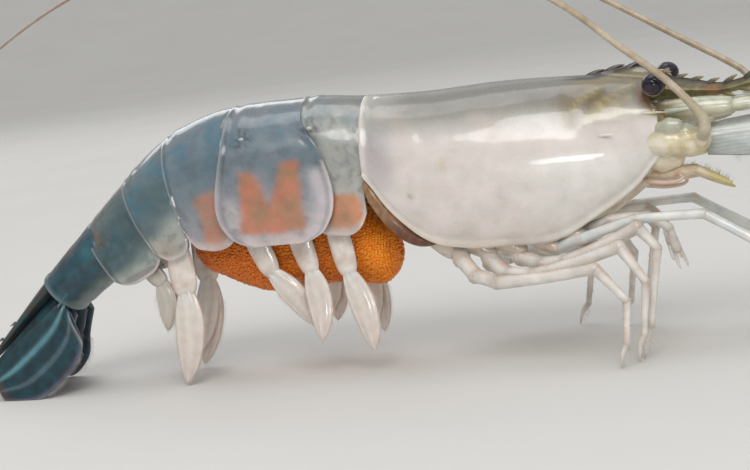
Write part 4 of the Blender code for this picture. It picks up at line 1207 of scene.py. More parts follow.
@dataclass
class Mouthparts(SubAssembly):
    """Leg-like third maxillipeds under the feelers."""

    joints: Places = ((57.0, 2.6, 36.4), (63.4, 4.8, 36.3), (69.0, 6.4, 36.9), (76.0, 6.2, 33.2))
    radii: tuple = (((0, 1.5), (0.5, 1.4), (1, 1.35)), ((0, 1.3), (0.5, 1.15), (1, 1.0)),
        ((0, 0.95), (0.5, 0.8), (0.85, 0.5), (1, 0.25)))
    exopod: Places = ((57.8, 4.8, 35.4), (61.5, 6.2, 34.6), (64.8, 6.8, 34.6), (66.2, 6.9, 35.3),
        (65.6, 6.9, 36.1))
    left_drop: float = 2.4

    @staticmethod
    def colour(point: Vector, around: float, share: float) -> Colour:
        """Beige, turning yellow towards the tip."""
        return layered(
            "#E2D3B8", ("#C6A982", 0.3 + 0.8 * ruffle(point, 2.0)), ("#D8CB7C", 0.75 * ramp(point.x - 70, 4)))

    def build(self) -> None:
        """Makes both mouth limbs with their bristles."""
        dice = random.Random(3)
        for side in Side:
            drop = self.left_drop if side is Side.LEFT else 0.0
            joints = [side.put((x, y, z - drop * smooth(k / 1.5))) for k, (x, y, z) in enumerate(self.joints)]
            pieces = [article(start, end, radii, self.colour)
                for start, end, radii in zip(joints, joints[1:], self.radii)]
            loop = curve([side.put((x, y, z - drop)) for x, y, z in self.exopod], 26)
            sizes = [0.55 - 0.3 * share for share, _ in spread(loop)]
            pieces.append(tube("exopod", loop, sizes, plain("#D9BFAE"), 10))
            self.add(joined(pieces, f"mouth_limb_{side.label}"), LIMB_SHELL, "limb_shell",
                f"maxilliped_{side.label}")
            hairs = []
            for start, end in zip(joints[1:], joints[2:]):
                for _ in range(34):
                    root = start.lerp(end, dice.uniform(0.1, 0.95)) + UP * 0.5
                    away = Vector((0.5, dice.uniform(-0.7, 0.7), 1.0)).normalized()
                    hairs.append((root, root + away * dice.uniform(1.0, 1.8)))
            self.add(bristles(f"mouth_hairs_{side.label}", hairs, 0.05, "#B9A87C"), BRISTLE, "limb_shell")


@dataclass
class Legs(SubAssembly):
    """Ten legs: two pairs end in pincers, three pairs stand on the floor."""

    roots: dict[int, Place] = given({
        1: (43.6, 3.0, 27.0), 2: (36.3, 3.4, 26.6), 3: (28.8, 3.8, 26.2), 4: (22.4, 4.3, 26.6),
        5: (16.6, 4.8, 27.4)})
    joints: dict[int, Places] = given({
        1: ((46.2, 5.7, 26.2), (50.5, 7.4, 28.0), (58.4, 8.6, 28.2), (62.4, 6.4, 25.0), (63.4, 5.9, 20.6)),
        2: ((38.6, 6.9, 23.2), (44.2, 9.9, 24.8), (56.0, 11.6, 28.2), (70.2, 13.4, 28.3),
            (95.0, 17.0, 12.5), (110.0, 18.6, 8.2)),
        3: ((31.2, 8.2, 21.8), (38.0, 10.6, 19.5), (56.6, 15.0, 27.0), (60.3, 15.4, 22.4),
            (57.4, 15.8, 6.4), (55.6, 16.0, 0.0)),
        4: ((24.8, 9.2, 21.4), (30.6, 13.2, 18.0), (52.9, 18.4, 23.9), (57.6, 19.4, 16.4),
            (56.2, 20.0, 5.6), (54.8, 20.2, 0.0)),
        5: ((18.6, 9.9, 22.8), (23.6, 15.2, 18.0), (47.9, 22.0, 20.4), (53.8, 23.4, 13.6),
            (53.0, 24.3, 4.8), (51.6, 24.5, 0.0))})
    radii: dict[int, tuple[float, ...]] = given({
        1: (2.1, 1.6, 1.3, 1.1, 0.98, 1.05), 2: (2.4, 1.75, 1.35, 1.15, 1.1, 1.6, 1.85),
        3: (2.4, 1.85, 1.65, 1.4, 0.98, 0.74, 0.12), 4: (2.4, 1.85, 1.6, 1.32, 0.94, 0.7, 0.12),
        5: (2.4, 1.8, 1.55, 1.22, 0.88, 0.68, 0.12)})
    left_shift: dict[int, tuple[float, ...]] = given({
        1: (0, -0.5, -1.5, -2.0, -2.0), 2: (0, -1.0, -2.0, -3.5, -5.0, -6.0),
        3: (0, -0.5, -2.0, -2.5, -3.0, -3.0), 4: (0, -1.5, -5.0, -5.5, -6.0, -6.5),
        5: (0, -2.0, -8.0, -12.0, -13.0, -14.0)})
    fingers: dict[int, float] = given({1: 5.0, 2: 21.0})
    spread_angle: float = radians(9)

    @staticmethod
    def paint(pair: int, claw: bool = False) -> Paint:
        """Colours of a limb's article: pale, with orange at its joints.

        Args:
            pair: Which pair of legs.
            claw: Whether the article ends in a claw.

        Returns:
            The colour function.
        """
        middle, shade = (("#DFE4E4", "#B4C3CA") if pair == 2 else ("#E3DEDA", "#B9B1AA"))

        def colour(point: Vector, around: float, share: float) -> Colour:
            """Pale bluish cream, orange near both joints, brown painted shade at each article's root near the
            body, brown at a claw's tip.
            """
            look = layered(
                middle, (shade, 0.35 + 0.9 * ruffle(point, 3.0)),
                ("#D9B48A", 0.4 * hill(share - 0.12, 0.07) + 0.45 * hill(share - 0.9, 0.08)),
                ("#EFEBE3", 0.5 * hill(share - 0.5, 0.25)))
            side_on = cos(2 * pi * around)
            look = layered(
                look, ("#CFA282", (0.15 if pair == 2 else 0.4) * ramp(side_on - 0.55, 0.4)
                 * smooth(0.6 + ruffle(point, 4.0))),
                # Painted shade: brown at each article's root, fading towards the floor, where the legs crowd
                # under the shell.
                ("#8F7658", 0.35 * ramp(25.5 - abs(point.z - 26), 24) * hill(share, 0.1)))
            return blend(look, linear("#6E4E34"), 0.9 * ramp(share - 0.72, 0.2)) if claw else look

        return colour

    def standing(self, pair: int, side: Side) -> Path:
        """Joints of one leg below its root."""
        shifts = self.left_shift[pair] if side is Side.LEFT else (0,) * len(self.joints[pair])
        return [side.put((x + shift, y, z)) for (x, y, z), shift in zip(self.joints[pair], shifts)]

    def limb(self, pair: int, side: Side) -> list[Piece]:
        """Articles of one leg."""
        points = [side.put(self.roots[pair])] + self.standing(pair, side)
        radii = list(self.radii[pair])
        if pair > 2:
            points[2:3] = [points[2].lerp(points[1], 0.34), points[2].lerp(points[3], 0.13)]
            radii.insert(2, (radii[1] + radii[2]) / 2)
        pieces = []
        last = len(points) - 2
        for k, (start, end) in enumerate(zip(points, points[1:])):
            claw = pair > 2 and k == last
            first, final = radii[k], radii[k + 1]
            waist = (first + final) / 2 * 0.9
            sizes = ((0, first), (0.14, first * 0.93), (0.5, waist), (0.88, final * 0.96), (1, final * 1.04))
            if claw:
                end = end + UP * 0.13
                sizes = ((0, first), (0.2, first * 0.95), (0.6, first * 0.62), (0.9, first * 0.3), (1, 0.07))
            bow = Vector((-0.35, 0, 0.35)) if claw else Vector((0, 0, -0.35 if k == 3 and pair > 2 else 0.1))
            pieces.append(article(start, end, sizes, self.paint(pair, claw), 1.08, bow))
        if pair in self.fingers:
            pieces += self.pincer(points, radii[-1], pair)
        return pieces

    def pincer(self, points: Path, palm: float, pair: int) -> list[Piece]:
        """Two slim fingers beyond a palm, the movable one set a little open."""
        length = self.fingers[pair]
        ahead = (points[-1] - points[-2]).normalized()
        lift = ahead.cross(LEFTWARD).normalized()
        made = []
        for sense in (-1, 1):
            turn = self.spread_angle * (1.0 if sense > 0 else 0.35)
            aim = ahead * cos(turn) + lift * (sense * sin(turn))
            root = points[-1] - ahead * palm * 0.3 + lift * (sense * palm * 0.46)
            path = curve([root, root + aim * length * 0.35, root + aim * length * 0.75,
                root + aim * length * 0.98 - lift * (sense * palm * 0.2)], 24)
            sizes = sized(((0, palm * 0.5), (0.3, palm * 0.42), (0.75, palm * 0.28), (0.95, palm * 0.13),
                (1, 0.08)),
                path)
            made.append(tube("finger", path, sizes, self.paint(pair), 12, LEFTWARD))
        return made

    def hairs(self, pair: int, side: Side, dice: random.Random) -> Hairs:
        """Sparse bristles along a leg's last two articles."""
        points = self.standing(pair, side)
        made = []
        for start, end in zip(points[-3:], points[-2:]):
            run = (end - start).normalized()
            for _ in range(26):
                root = start.lerp(end, dice.uniform(0.1, 0.8))
                away = Vector([dice.uniform(-1, 1) for _ in range(3)])
                away = (away - run * away.dot(run)).normalized()
                root = root + away * self.radii[pair][-3] * 0.55
                made.append((root, root + (away + run * 0.9).normalized() * dice.uniform(0.7, 1.3)))
        return [(root, tip) for root, tip in made if tip.z > LOWEST_HAIR]

    def build(self) -> None:
        """Makes the ten legs."""
        dice = random.Random(7)
        for pair in self.joints:
            for side in Side:
                self.add(joined(self.limb(pair, side), f"leg_limb_{pair}_{side.label}"), LIMB_SHELL,
                    "limb_shell", f"leg_{pair}_{side.label}")
                self.add(bristles(f"leg_hairs_{pair}_{side.label}", self.hairs(pair, side, dice), 0.05,
                    "#A8977A"),
                    BRISTLE, "limb_shell")


# Tail


@dataclass(frozen=True)
class TailLine:
    """The back's middle line behind the carapace, level at first and then bending down."""

    start_z: float = 59.2
    bend: float = radians(42)
    bend_start: float = 20.5
    bend_end: float = 62.0
    hump: float = 1.1
    hump_length: float = 10.0
    lean: Table = ((0, 0), (20, -1), (30, -2), (38, 1), (48, 14), (55, 21), (61.5, 28), (74.5, 34), (91, 42))
    round_depth: float = 13.0
    end: float = 91.0

    def fall(self, distance: float) -> float:
        """Slope of the line at a distance along it."""
        return self.bend * smooth((distance - self.bend_start) / (self.bend_end - self.bend_start))

    def back(self, distance: float) -> Vector:
        """Point of the line at a distance along it."""
        if distance <= 0:
            return Vector((-distance, 0, self.start_z))
        x, z, travelled = 0.0, self.start_z, 0.0
        while travelled < distance:
            stride = min(0.5, distance - travelled)
            fall = self.fall(travelled + stride / 2)
            x -= cos(fall) * stride
            z -= sin(fall) * stride
            travelled += stride
        fall = self.fall(distance)
        rise = self.hump * smooth(distance / self.hump_length)
        return Vector((x - sin(fall) * rise, 0, z + cos(fall) * rise))

    def point(self, distance: float, depth: float, y: float) -> Vector:
        """Point at a depth down the leaning cross-section at a distance, and at a y."""
        lean = radians(at(self.lean, distance))
        place = self.back(distance) + Vector((sin(lean), 0, -cos(lean))) * depth
        place.y = y
        return place


TAIL = TailLine()


@dataclass
class Abdomen(SubAssembly):
    """Five overlapping hoops of shell over a core of flesh, the second one lapping both ways."""

    # Start and end along the back, half width, side plate's depth in front and behind
    hoops: dict[int, tuple[float, float, float, float, float]] = given({
        1: (-1.6, 13.6, 12.1, 29.2, 29.5), 2: (12.9, 29.9, 13.25, 30.2, 30.2),
        3: (28.4, 47.0, 11.9, 32.0, 24.7),
        4: (45.6, 60.7, 11.5, 26.0, 21.5), 5: (59.3, 74.8, 10.5, 21.6, 18.1)})
    corner: Table = ((0, 0.84), (0.1, 0.93), (0.28, 0.99), (0.5, 1.0), (0.72, 0.985), (0.9, 0.92), (1, 0.82))
    wing: Table = ((0, 12.9), (4.0, 12.7), (6.5, 11.4), (9.5, 9.3), (13, 7.9), (19, 6.7), (24, 7.2),
        (28, 9.6), (29.4, 11.8), (30.2, 14.0))
    wing_rear: Table = ((0, 29.9), (6.5, 30.2), (13, 31.6), (19, 33.0), (24, 32.9), (28, 30.6), (29.4, 28.4),
        (30.2, 26.0))
    wing_half: float = 13.75
    arch_share: float = 0.46
    thickness: float = 0.62
    knobs: Places = ((-10.6, 54.2, 0.52), (-25.8, 53.4, 0.52))
    knob_stretch: Place = (1.25, 0.55, 0.8)
    marks: dict[int, Places] = given({
        1: ((-8.6, 39.6), (-2.2, 39.4), (-0.4, 31.2), (-9.4, 31.6)),
        2: ((-28.2, 33.2), (-26.8, 46.6), (-23.6, 46.2), (-20.8, 38.8), (-17.4, 47.4), (-13.4, 48.0),
            (-13.8, 33.0), (-20.8, 32.4)),
        3: ((-38.4, 41.6), (-33.4, 43.2), (-31.6, 28.2), (-36.4, 27.6))})

    def outer(self, hoop: int, s: float, t: float, inset: float = 0.0) -> Vector:
        """Point of a hoop's outer face, or of one drawn in by an inset.

        Args:
            hoop: Number of the segment.
            s: Round it, from -1 at the right plate's edge through 0 on the back to 1.
            t: Along it, from 0 in front to 1 behind.
            inset: How far inside the outer face.

        Returns:
            The point.
        """
        start, end, half, front_depth, rear_depth = self.hoops[hoop]
        share, sign = abs(s), (1 if s > 0 else -1)
        round_depth = TAIL.round_depth
        narrow = 0.0 if hoop == 2 else ramp(0.14 - t, 0.14)
        slant = (front_depth + (rear_depth - front_depth) * t) * at(self.corner, t)
        depth = front_depth if hoop == 2 else slant
        if share < self.arch_share:
            turn = radians(90) * share / self.arch_share
            v = inset + (round_depth - inset) * (1 - cos(turn))
            wide = sin(turn)
        else:
            down = (share - self.arch_share) / (1 - self.arch_share)
            v = round_depth + (depth - round_depth) * down - inset * 0.15 * down
            wide = 1 - 0.03 * down * down
        if hoop == 2:
            start, end = at(self.wing, v), at(self.wing_rear, v)
            half = half + (self.wing_half - half) * ramp(v - 3, 7)
        if hoop == 1:
            start += 2.0 * ramp(v - 15, 5)
        distance = start + (end - start) * t
        half -= inset
        half -= 0.5 * narrow
        edge_low = (1 - share) / (1 - self.arch_share) * (depth - round_depth)
        edge_rear = (1 - t) * (end - start)
        edge_front = t * (end - start) if hoop == 2 and v > 7 else FAR_OFF
        rim = min(edge_low, edge_rear, edge_front)
        out = 0.13 * hill(rim - 0.4, 0.45) - 0.09 * hill(rim - 1.6, 0.8)
        out += 0.16 * ruffle(Vector((distance, 4.0 * s, v)), 6.0)
        out += 0.14 * hill(edge_rear - 3.2, 1.2) * ramp(0.3 - share, 0.2)
        if inset:
            out = 0.0
        if hoop == 2:
            place = Vector((-distance, 0, TAIL.start_z + TAIL.hump - v))
            level = TAIL.point(distance, v, 0.0)
            place = level.lerp(place, ramp(v - 3, 8))
        else:
            place = TAIL.point(distance, v, 0.0)
        up = cos(min(share / self.arch_share, 1.0) * pi / 2)
        place.z += (out - 0.45 * narrow) * up
        place.y = sign * (half * wide + out * (1 - up))
        return place

    def colour(self, hoop: int) -> Paint:
        """Colours of one hoop: bluish grey, teal and brown to the rear, the brown along the back partly
        painted shade, with pale rims, a painted shade line in the groove inside each rim, and orange marks.
        """
        base = {1: ("#A9AAA4", "#BDB6B0"), 2: ("#727F88", "#BDB4B6"), 3: ("#677883", "#A09CA0"),
            4: ("#546A70", "#ACB0A8"), 5: ("#3A565C", "#9AA19A")}[hoop]
        # Strength of the dark brown along each hoop's back: partly the animal's own colour, partly painted
        # shade, strongest on the first hoop.
        brown = {1: 0.75, 2: 0.5, 3: 0.6, 4: 0.75, 5: 0.9}[hoop]

        def paint(point: Vector, around: float, share: float) -> Colour:
            """Colour at a place of the hoop."""
            x, z = point.x, point.z
            s = 2 * share - 1
            t = min(around * 2, 1.0) if around <= 0.5 else min((1 - around) * 2, 1.0)
            down = max(0.0, (abs(s) - self.arch_share) / (1 - self.arch_share))
            look = layered(
                base[0], (base[1], smooth(down * (1.1 if hoop < 4 else 1.35) + 0.3 * ruffle(point, 6.0))),
                # Dark brown along the back, partly painted shade.
                ("#4E4A3C", brown * ramp(0.26 - abs(s), 0.2)),
                ("#2E6E82", (0.65 if hoop in (3, 4) else 0.25) * ramp(0.5 - abs(s), 0.2)
                 * smooth(0.3 + 1.6 * ruffle(point, 4.2))),
                ("#5E6C70", 0.45 * smooth(ruffle(point, 2.2) * 2.4 - 0.2)))
            if hoop in self.marks:
                shift = 0.55 * ruffle(point, 3.0)
                orange = blend(linear("#D58A5C" if hoop == 1 else "#C47452"), linear("#A87C54"),
                    0.35 + 0.7 * ruffle(point, 3.6))
                cover = within(x + shift, z + 0.7 * shift, self.marks[hoop], 2.0)
                look = blend(look, orange, (0.92 if hoop < 3 else 0.75) * cover)
            if hoop == 4:
                look = blend(look, linear("#9A6A4A"), 0.4 * hill(hypot(x + 46.5, z - 30.5), 3.0))
            if hoop == 5:
                look = blend(look, linear("#7A5A3C"), 0.6 * hill(hypot(x + 64.6, z - 34.5), 2.6))
            for hinge_x, hinge_z, _ in self.knobs:
                away, turn = hypot(x - hinge_x, z - hinge_z), atan2(z - hinge_z, x - hinge_x)
                ray = 0.5 + 0.5 * cos(6 * turn + 5 * ruffle(point, 2.0))
                look = blend(look, linear("#23282B"), 0.75 * ray * hill(away - 1.2, 1.3))
            depth_mm = (1 - abs(s)) * 29
            look = layered(
                look, ("#D2C2C0", 0.75 * hill(depth_mm - 0.5, 1.2)),
                ("#BDB4B2", 0.55 * hill((1 - t) * 16 - 0.3, 0.7)),
                # Painted shade: dark line in the groove just inside the rear rim.
                ("#39454A", 0.6 * hill((1 - t) * 16 - 1.7, 0.45)))
            if hoop == 2 and down > 0:
                pale_front = smooth(down * 5) * ramp(6.4 - t * 24, 3.0)
                pale_rear = smooth(down * 3) * ramp(4.4 - (1 - t) * 24, 3.0)
                look = layered(
                    look, ("#CCC4C8", 0.85 * pale_front), ("#BBB4BA", 0.55 * pale_rear),
                    # Painted shade: dark line in the groove just inside the front rim.
                    ("#D4CBCA", 0.6 * hill(t * 24 - 0.3, 0.8)), ("#3F4C52", 0.5 * hill(t * 24 - 1.7, 0.45)))
            return look

        return paint

    def build(self) -> None:
        """Makes the hoops, their hinge knobs and the flesh inside."""
        for hoop in self.hoops:
            rows = []
            stations = 34
            for k in range(121):
                s = -1 + 2 * k / 120
                shares = [smooth(n / stations) * 0.5 + 0.5 * n / stations for n in range(stations + 1)]
                outside = [self.outer(hoop, s, share) for share in shares]
                inside = [self.outer(hoop, s, share, self.thickness) for share in reversed(shares)]
                rows.append(outside + inside)
            self.add(skin(f"abdomen_hoop_{hoop}", rows, self.colour(hoop)), ABDOMEN_SHELL, "abdomen_shell",
                f"abdomen_{hoop}")
        for side in Side:
            for number, (x, z, size) in enumerate(self.knobs):
                sunk = min(TAIL.start_z + TAIL.hump - z, TAIL.round_depth)
                y = (self.wing_half - 0.35) * sin(acos(1 - sunk / TAIL.round_depth))
                pick()
                centre = side.put((x, y - 0.05, z))
                bpy.ops.mesh.primitive_ico_sphere_add(subdivisions=3, radius=size * MM,
                    location=centre * MM + AXIS)
                # The knobs are painted pale grey as the glints on the hinges: painted highlight.
                self.add(stretched(f"hinge_knob_{number + 1}_{side.label}", centre, self.knob_stretch,
                    plain("#B4B7B2")), LIMB_SHELL, "abdomen_shell")
        rows = []
        for k in range(60):
            distance = -1.0 + 76.0 * k / 59
            half = at(((0, 10.6), (20, 10.9), (50, 9.8), (62, 9.2), (75, 8.0)), distance)
            low = at(((0, 17.0), (45, 16.0), (60, 13.5), (75, 11.8)), distance)
            fold = 0.35 * sin(distance * 1.35)
            ring = []
            for turn in turns(36):
                v = 2.0 + (low + fold - 2.0) / 2 * (1 - cos(turn))
                ring.append(TAIL.point(distance, v, half * sin(turn)))
            rows.append(ring)
        self.add(skin("abdomen_flesh", rows, mottled("#C9A78E", "#8A5238", 0.4, 0.9, 3.0)), MEMBRANE,
            "abdomen_shell")


@dataclass
class TailFan(SubAssembly):
    """Last segment, pointed telson and two leaves a side, folded down like a roof onto the floor."""

    depth: tuple[float, float] = (13.6, 11.2)
    half: tuple[float, float] = (9.0, 7.0)
    start: float = 74.0
    outer_top: Places = ((-75.7, 4.6, 21.3), (-80.2, 5.7, 17.6), (-85.0, 6.4, 14.1), (-90.0, 7.2, 9.9),
        (-94.5, 8.2, 5.3))
    outer_low: Places = ((-72.9, 6.2, 16.6), (-70.6, 8.8, 10.6), (-74.4, 10.6, 4.6), (-81.6, 11.6, 0.0),
        (-90.6, 10.6, 0.0))
    inner_top: Places = ((-77.3, 1.3, 23.1), (-81.5, 2.0, 19.6), (-88.6, 2.6, 13.4), (-97.2, 3.4, 5.7))
    inner_low: Places = ((-73.2, 2.9, 17.0), (-76.4, 4.2, 10.6), (-83.2, 5.2, 4.6), (-93.0, 4.8, 1.8))
    left_fold: float = 7.0
    telson_length: float = 26.6
    # Heights that a fringe hair's root and tip stay above
    hair_root: float = 0.12
    hair_tip: float = 0.08

    @staticmethod
    def drum_colour(point: Vector, around: float, share: float) -> Colour:
        """Teal sides under a brown back, with a pale rear rim."""
        look = blend(linear("#22505E"), linear("#183A46"), 0.5 + 0.9 * ruffle(point, 2.6))
        top = 1 - abs(around if around < 0.5 else 1 - around) / 0.5
        return layered(
            look, ("#3E7E8A", 0.6 * exp(-((share - 0.18) / 0.14) ** 2 - ((top - 0.56) / 0.1) ** 2)),
            ("#463526", 0.85 * ramp(top - 0.7, 0.16) * smooth(0.6 + ruffle(point, 3.0))),
            ("#7A3A2C", 0.6 * ramp(top - 0.66, 0.1) * smooth(ruffle(point, 1.6) * 3 - 0.9)),
            ("#8FA09E", 0.5 * hill(share - 0.98, 0.03)), ("#9FA8A2", 0.5 * ramp(0.35 - top, 0.2)))

    @staticmethod
    def leaf_colour(point: Vector, around: float, share: float) -> Colour:
        """Dark teal with a bright cyan-white ridge and purple-pale lower rim."""
        look = blend(linear("#07404C"), linear("#05272F"), 0.5 + 0.9 * ruffle(point, 2.2))
        across = min(around, 1 - around) * 2
        return layered(
            look, ("#6FA6B0", 0.75 * hill(across - 0.3, 0.045)), ("#8FA9B8", 0.3 * hill(across - 0.62, 0.04)),
            ("#8E7E96", 0.55 * ramp(across - 0.86, 0.12)), ("#6A4A3A", 0.5 * ramp(share - 0.9, 0.1)))

    @staticmethod
    def spike_colour(point: Vector, around: float, share: float) -> Colour:
        """Dark teal brown, paler along its ridge."""
        return layered(
            "#274750", ("#3E342A", 0.5 + 0.8 * ruffle(point, 2.6)), ("#6E8E94", 0.4 * hill(point.y, 0.5)))

    def low_edge(self, side: Side) -> Path:
        """Lower edge of an outer leaf, drawn in further on the left."""
        fold = self.left_fold if side is Side.LEFT else 0.0
        return [side.put((x - fold * smooth(share * 4) * (1 - share), y, z))
            for share, (x, y, z) in spread(self.outer_low)]

    def build(self) -> None:
        """Makes the drum, the telson and the four leaves with their fringes."""
        rows = []
        length = TAIL.end - self.start
        for k in range(48):
            share = k / 47
            distance = self.start - 1.2 + (length + 1.2) * share
            depth = self.depth[0] + (self.depth[1] - self.depth[0]) * share
            half = self.half[0] + (self.half[1] - self.half[0]) * share
            swell = 0.2 * hill(share - 0.97, 0.03) - 0.12 * hill(share - 0.88, 0.04)
            swell -= 0.5 * ramp(0.05 - share, 0.05)
            ring = []
            for turn in turns(48):
                lump = swell + 0.12 * ruffle(Vector((distance, 6 * sin(turn), 6 * cos(turn))), 4.0)
                v = depth / 2 - (depth / 2 + lump) * cos(turn)
                ring.append(TAIL.point(distance, v, (half + lump) * sin(turn)))
            rows.append(ring)
        pieces = [skin("drum", rows, self.drum_colour)]
        for side in Side:
            root = TAIL.point(TAIL.end - 3.2, 7.2, 6.3 * side.value)
            tip = TAIL.point(TAIL.end + 1.4, 7.5, 6.7 * side.value)
            pieces.append(spine(root, tip, 0.8, ("#2B5A62", "#7D9492")))
        self.add(joined(pieces, "tail_drum"), TAIL_SHELL, "tail_shell", "abdomen_6")
        root, fall = TAIL.back(TAIL.end - 0.6), TAIL.fall(TAIL.end)
        ahead = Vector((-cos(fall), 0, -sin(fall)))
        below = Vector((sin(fall), 0, -cos(fall)))
        shares = [k / 39 for k in range(40)]
        path = [root + below * 2.4 + ahead * (self.telson_length * share) for share in shares]
        widths = [at(((0, 4.9), (0.2, 4.6), (0.5, 3.6), (0.8, 2.3), (0.94, 1.2), (1, 0.35)), s)
            for s in shares]
        heights = [at(((0, 1.9), (0.2, 1.7), (0.5, 1.3), (0.8, 0.9), (1, 0.35)), s) for s in shares]
        rows = ring_rows(path, widths, heights, LEFTWARD, 28)
        pieces = [skin("spike", rows, self.spike_colour)]
        for share, y in ((0.52, 2.2), (0.72, 1.7)):
            for side in Side:
                place = root + below * 1.4 + ahead * (self.telson_length * share)
                place += LEFTWARD * (y * side.value)
                pieces.append(spine(place, place + ahead * 1.7 - below * 0.5, 0.32, ("#5A6A68", "#C9BFA6")))
        self.add(joined(pieces, "telson_spike"), TAIL_SHELL, "tail_shell", "telson")
        dice = random.Random(21)
        for side in Side:
            leaves = (("outer", "exopod", [side.put(p) for p in self.outer_top], self.low_edge(side)),
                ("inner", "endopod", [side.put(p) for p in self.inner_top],
                    [side.put(p) for p in self.inner_low]))
            for kind, branch, first, second in leaves:
                rows = leaf_rows(first, second, (1.1, 0.62, 0.5, 0.3), 0.15, 46, 24, 0.42, 0.3)
                for row in rows:
                    for point in row:
                        point.z = max(point.z, LOWEST)
                self.add(skin(f"tail_leaf_{kind}_{side.label}", rows, self.leaf_colour), TAIL_SHELL,
                    "tail_shell", f"uropod_{branch}_{side.label}")
                middle = (first[2] + second[2]) / 2
                low = list(curve(second, 30))[8:]
                end = [first[-1], (first[-1] + second[-1]) / 2 + Vector((-0.6, 0, 0)), second[-1]]
                hairs = fringe(low, middle, 0.36, 1.5, 0.9, dice) + fringe(end, middle, 0.34, 2.2, 0.0, dice)
                hairs = [(hair[0], Vector((hair[1].x, hair[1].y, max(hair[1].z, self.hair_tip))))
                    for hair in hairs if hair[0].z > self.hair_root]
                self.add(bristles(f"tail_fringe_{kind}_{side.label}", hairs, 0.06, "#5F6A66"), BRISTLE,
                    "tail_shell")


@dataclass
class Swimmerets(SubAssembly):
    """Swimming legs: a flat stem down from the belly, with an outer and an inner blade."""

    # Root, knee and tip as (x, z), their y, and how far the tip stands out
    pairs: dict[int, tuple] = given({
        1: ((-9.6, 42.0), (-6.4, 21.2), (-2.6, 5.0), 9.1, 1.4),
        2: ((-19.6, 42.5), (-14.6, 22.4), (-13.6, 8.2), 9.1, 2.5),
        3: ((-30.4, 41.6), (-23.4, 22.8), (-15.4, 10.6), 9.1, -1.7),
        4: ((-45.2, 34.5), (-44.0, 20.0), (-46.4, 0.8), 9.0, 0.8),
        5: ((-55.4, 30.0), (-49.4, 23.0), (-50.0, 12.6), 7.6, 0.4)})
    stem_half: float = 2.6
    sizes: dict[int, float] = given({1: 1.0, 2: 1.0, 3: 1.0, 4: 1.18, 5: 0.82})
    blade_half: Table = ((0, 1.35), (0.1, 2.05), (0.27, 2.75), (0.5, 2.75), (0.75, 2.1), (0.92, 1.0),
        (1, 0.15))
    blade_thick: Table = ((0, 0.75), (0.5, 0.62), (0.85, 0.42), (1, 0.2))
    inner_size: float = 0.86
    ribs: int = 7

    @staticmethod
    def stem_colour(point: Vector, around: float, share: float) -> Colour:
        """Pinkish white, orange along its hind edge."""
        return layered(
            "#E6DED6", ("#C9B6AB", 0.3 + 0.8 * ruffle(point, 2.6)),
            ("#C48A58", 0.45 * smooth(cos(2 * pi * around) * -1.0 - 0.3)))

    @staticmethod
    def blade_colour(point: Vector, around: float, share: float) -> Colour:
        """Clear pinkish white with lengthwise ribs and a warmer edge."""
        rib = 0.5 + 0.5 * sin(2 * pi * around * Swimmerets.ribs)
        look = blend(linear("#E6DFD7"), linear("#CBBBB2"), 0.3 * rib + 0.35 * smooth(share))
        edge = abs(cos(2 * pi * around))
        return layered(
            look, ("#C58E5E", 0.4 * ramp(edge - 0.86, 0.14)), ("#EFE9E2", 0.5 * hill(share - 0.06, 0.05)))

    @staticmethod
    def shaded(paint: Paint, pair: int) -> Paint:
        """The same colours, with the clearer fifth pair greyer."""
        grey = 0.55 if pair == 5 else 0.0
        return lambda point, around, share: blend(paint(point, around, share), linear("#A09C8E"), grey)

    def build(self) -> None:
        """Makes five pairs with their fringes."""
        dice = random.Random(13)
        for pair, (root, knee, tip, y, stand) in self.pairs.items():
            for side in Side:
                lag = 2.5 if side is Side.LEFT else 0.0
                top = side.put((root[0], y, root[1]))
                bend = side.put((knee[0] - lag * 0.4, y + 0.1, knee[1]))
                end = side.put((tip[0] - lag, y + stand, tip[1]))
                scale = self.sizes[pair]
                half = self.stem_half * scale
                shares = [k / 21 for k in range(22)]
                path = [top.lerp(bend, share) for share in shares]
                widths = [half * at(((0, 0.8), (0.35, 0.95), (0.75, 1.0), (0.93, 0.8), (1, 0.45)), s)
                    for s in shares]
                heights = [0.85 * at(((0, 0.8), (0.5, 1.0), (0.95, 0.95), (1, 0.5)), s) for s in shares]
                pieces = [skin("stem", ring_rows(path, widths, heights, FORWARD, 22),
                    self.shaded(self.stem_colour, pair))]
                run = end - bend
                start = bend - run.normalized() * 0.3 - (bend - top).normalized() * 1.0
                hairs = []
                for size, inward in ((1.0, 0.0), (self.inner_size, 1.0)):
                    goal = bend + run * size + side.put((-1.2 * inward, -1.5 * inward, 0))
                    shares = [k / 33 for k in range(34)]
                    path = [start.lerp(goal, s) + Vector((0.8 * sin(pi * s), 0, 0)) for s in shares]
                    widths = [at(self.blade_half, s) * size * scale for s in shares]
                    heights = [at(self.blade_thick, s) * scale for s in shares]
                    rows = ring_rows(path, widths, heights, FORWARD, 42)
                    for row in rows:
                        for n, point in enumerate(row):
                            rib = 0.09 * sin(2 * pi * n / 42 * self.ribs)
                            point.y += rib * (1 if point.y > 0 else -1)
                            point.z = max(point.z, LOWEST)
                    pieces.append(skin("blade", rows, self.shaded(self.blade_colour, pair)))
                    for edge_point in (0, 21):
                        edge = even([row[edge_point] for row in rows[8:]], 0.42)
                        for near, here, far in zip(edge, edge[1:], edge[2:]):
                            along = (far - near).normalized()
                            away = (here - start.lerp(goal, 0.45)).normalized()
                            jitter = Vector([dice.uniform(-0.1, 0.1) for _ in range(3)])
                            aim = (away * 0.6 + along + jitter).normalized()
                            reach = here + aim * dice.uniform(1.0, 1.7)
                            if reach.z > LOWEST_HAIR:
                                hairs.append((here - aim * 0.2, reach))
                self.add(joined(pieces, f"swimmeret_{pair}_{side.label}"), SWIMMERET_SHELL, "swimmeret_shell",
                    f"pleopod_{pair}_{side.label}")
                self.add(bristles(f"swimmeret_fringe_{pair}_{side.label}", hairs, 0.05, "#B49A86"), BRISTLE,
                    "swimmeret_shell")


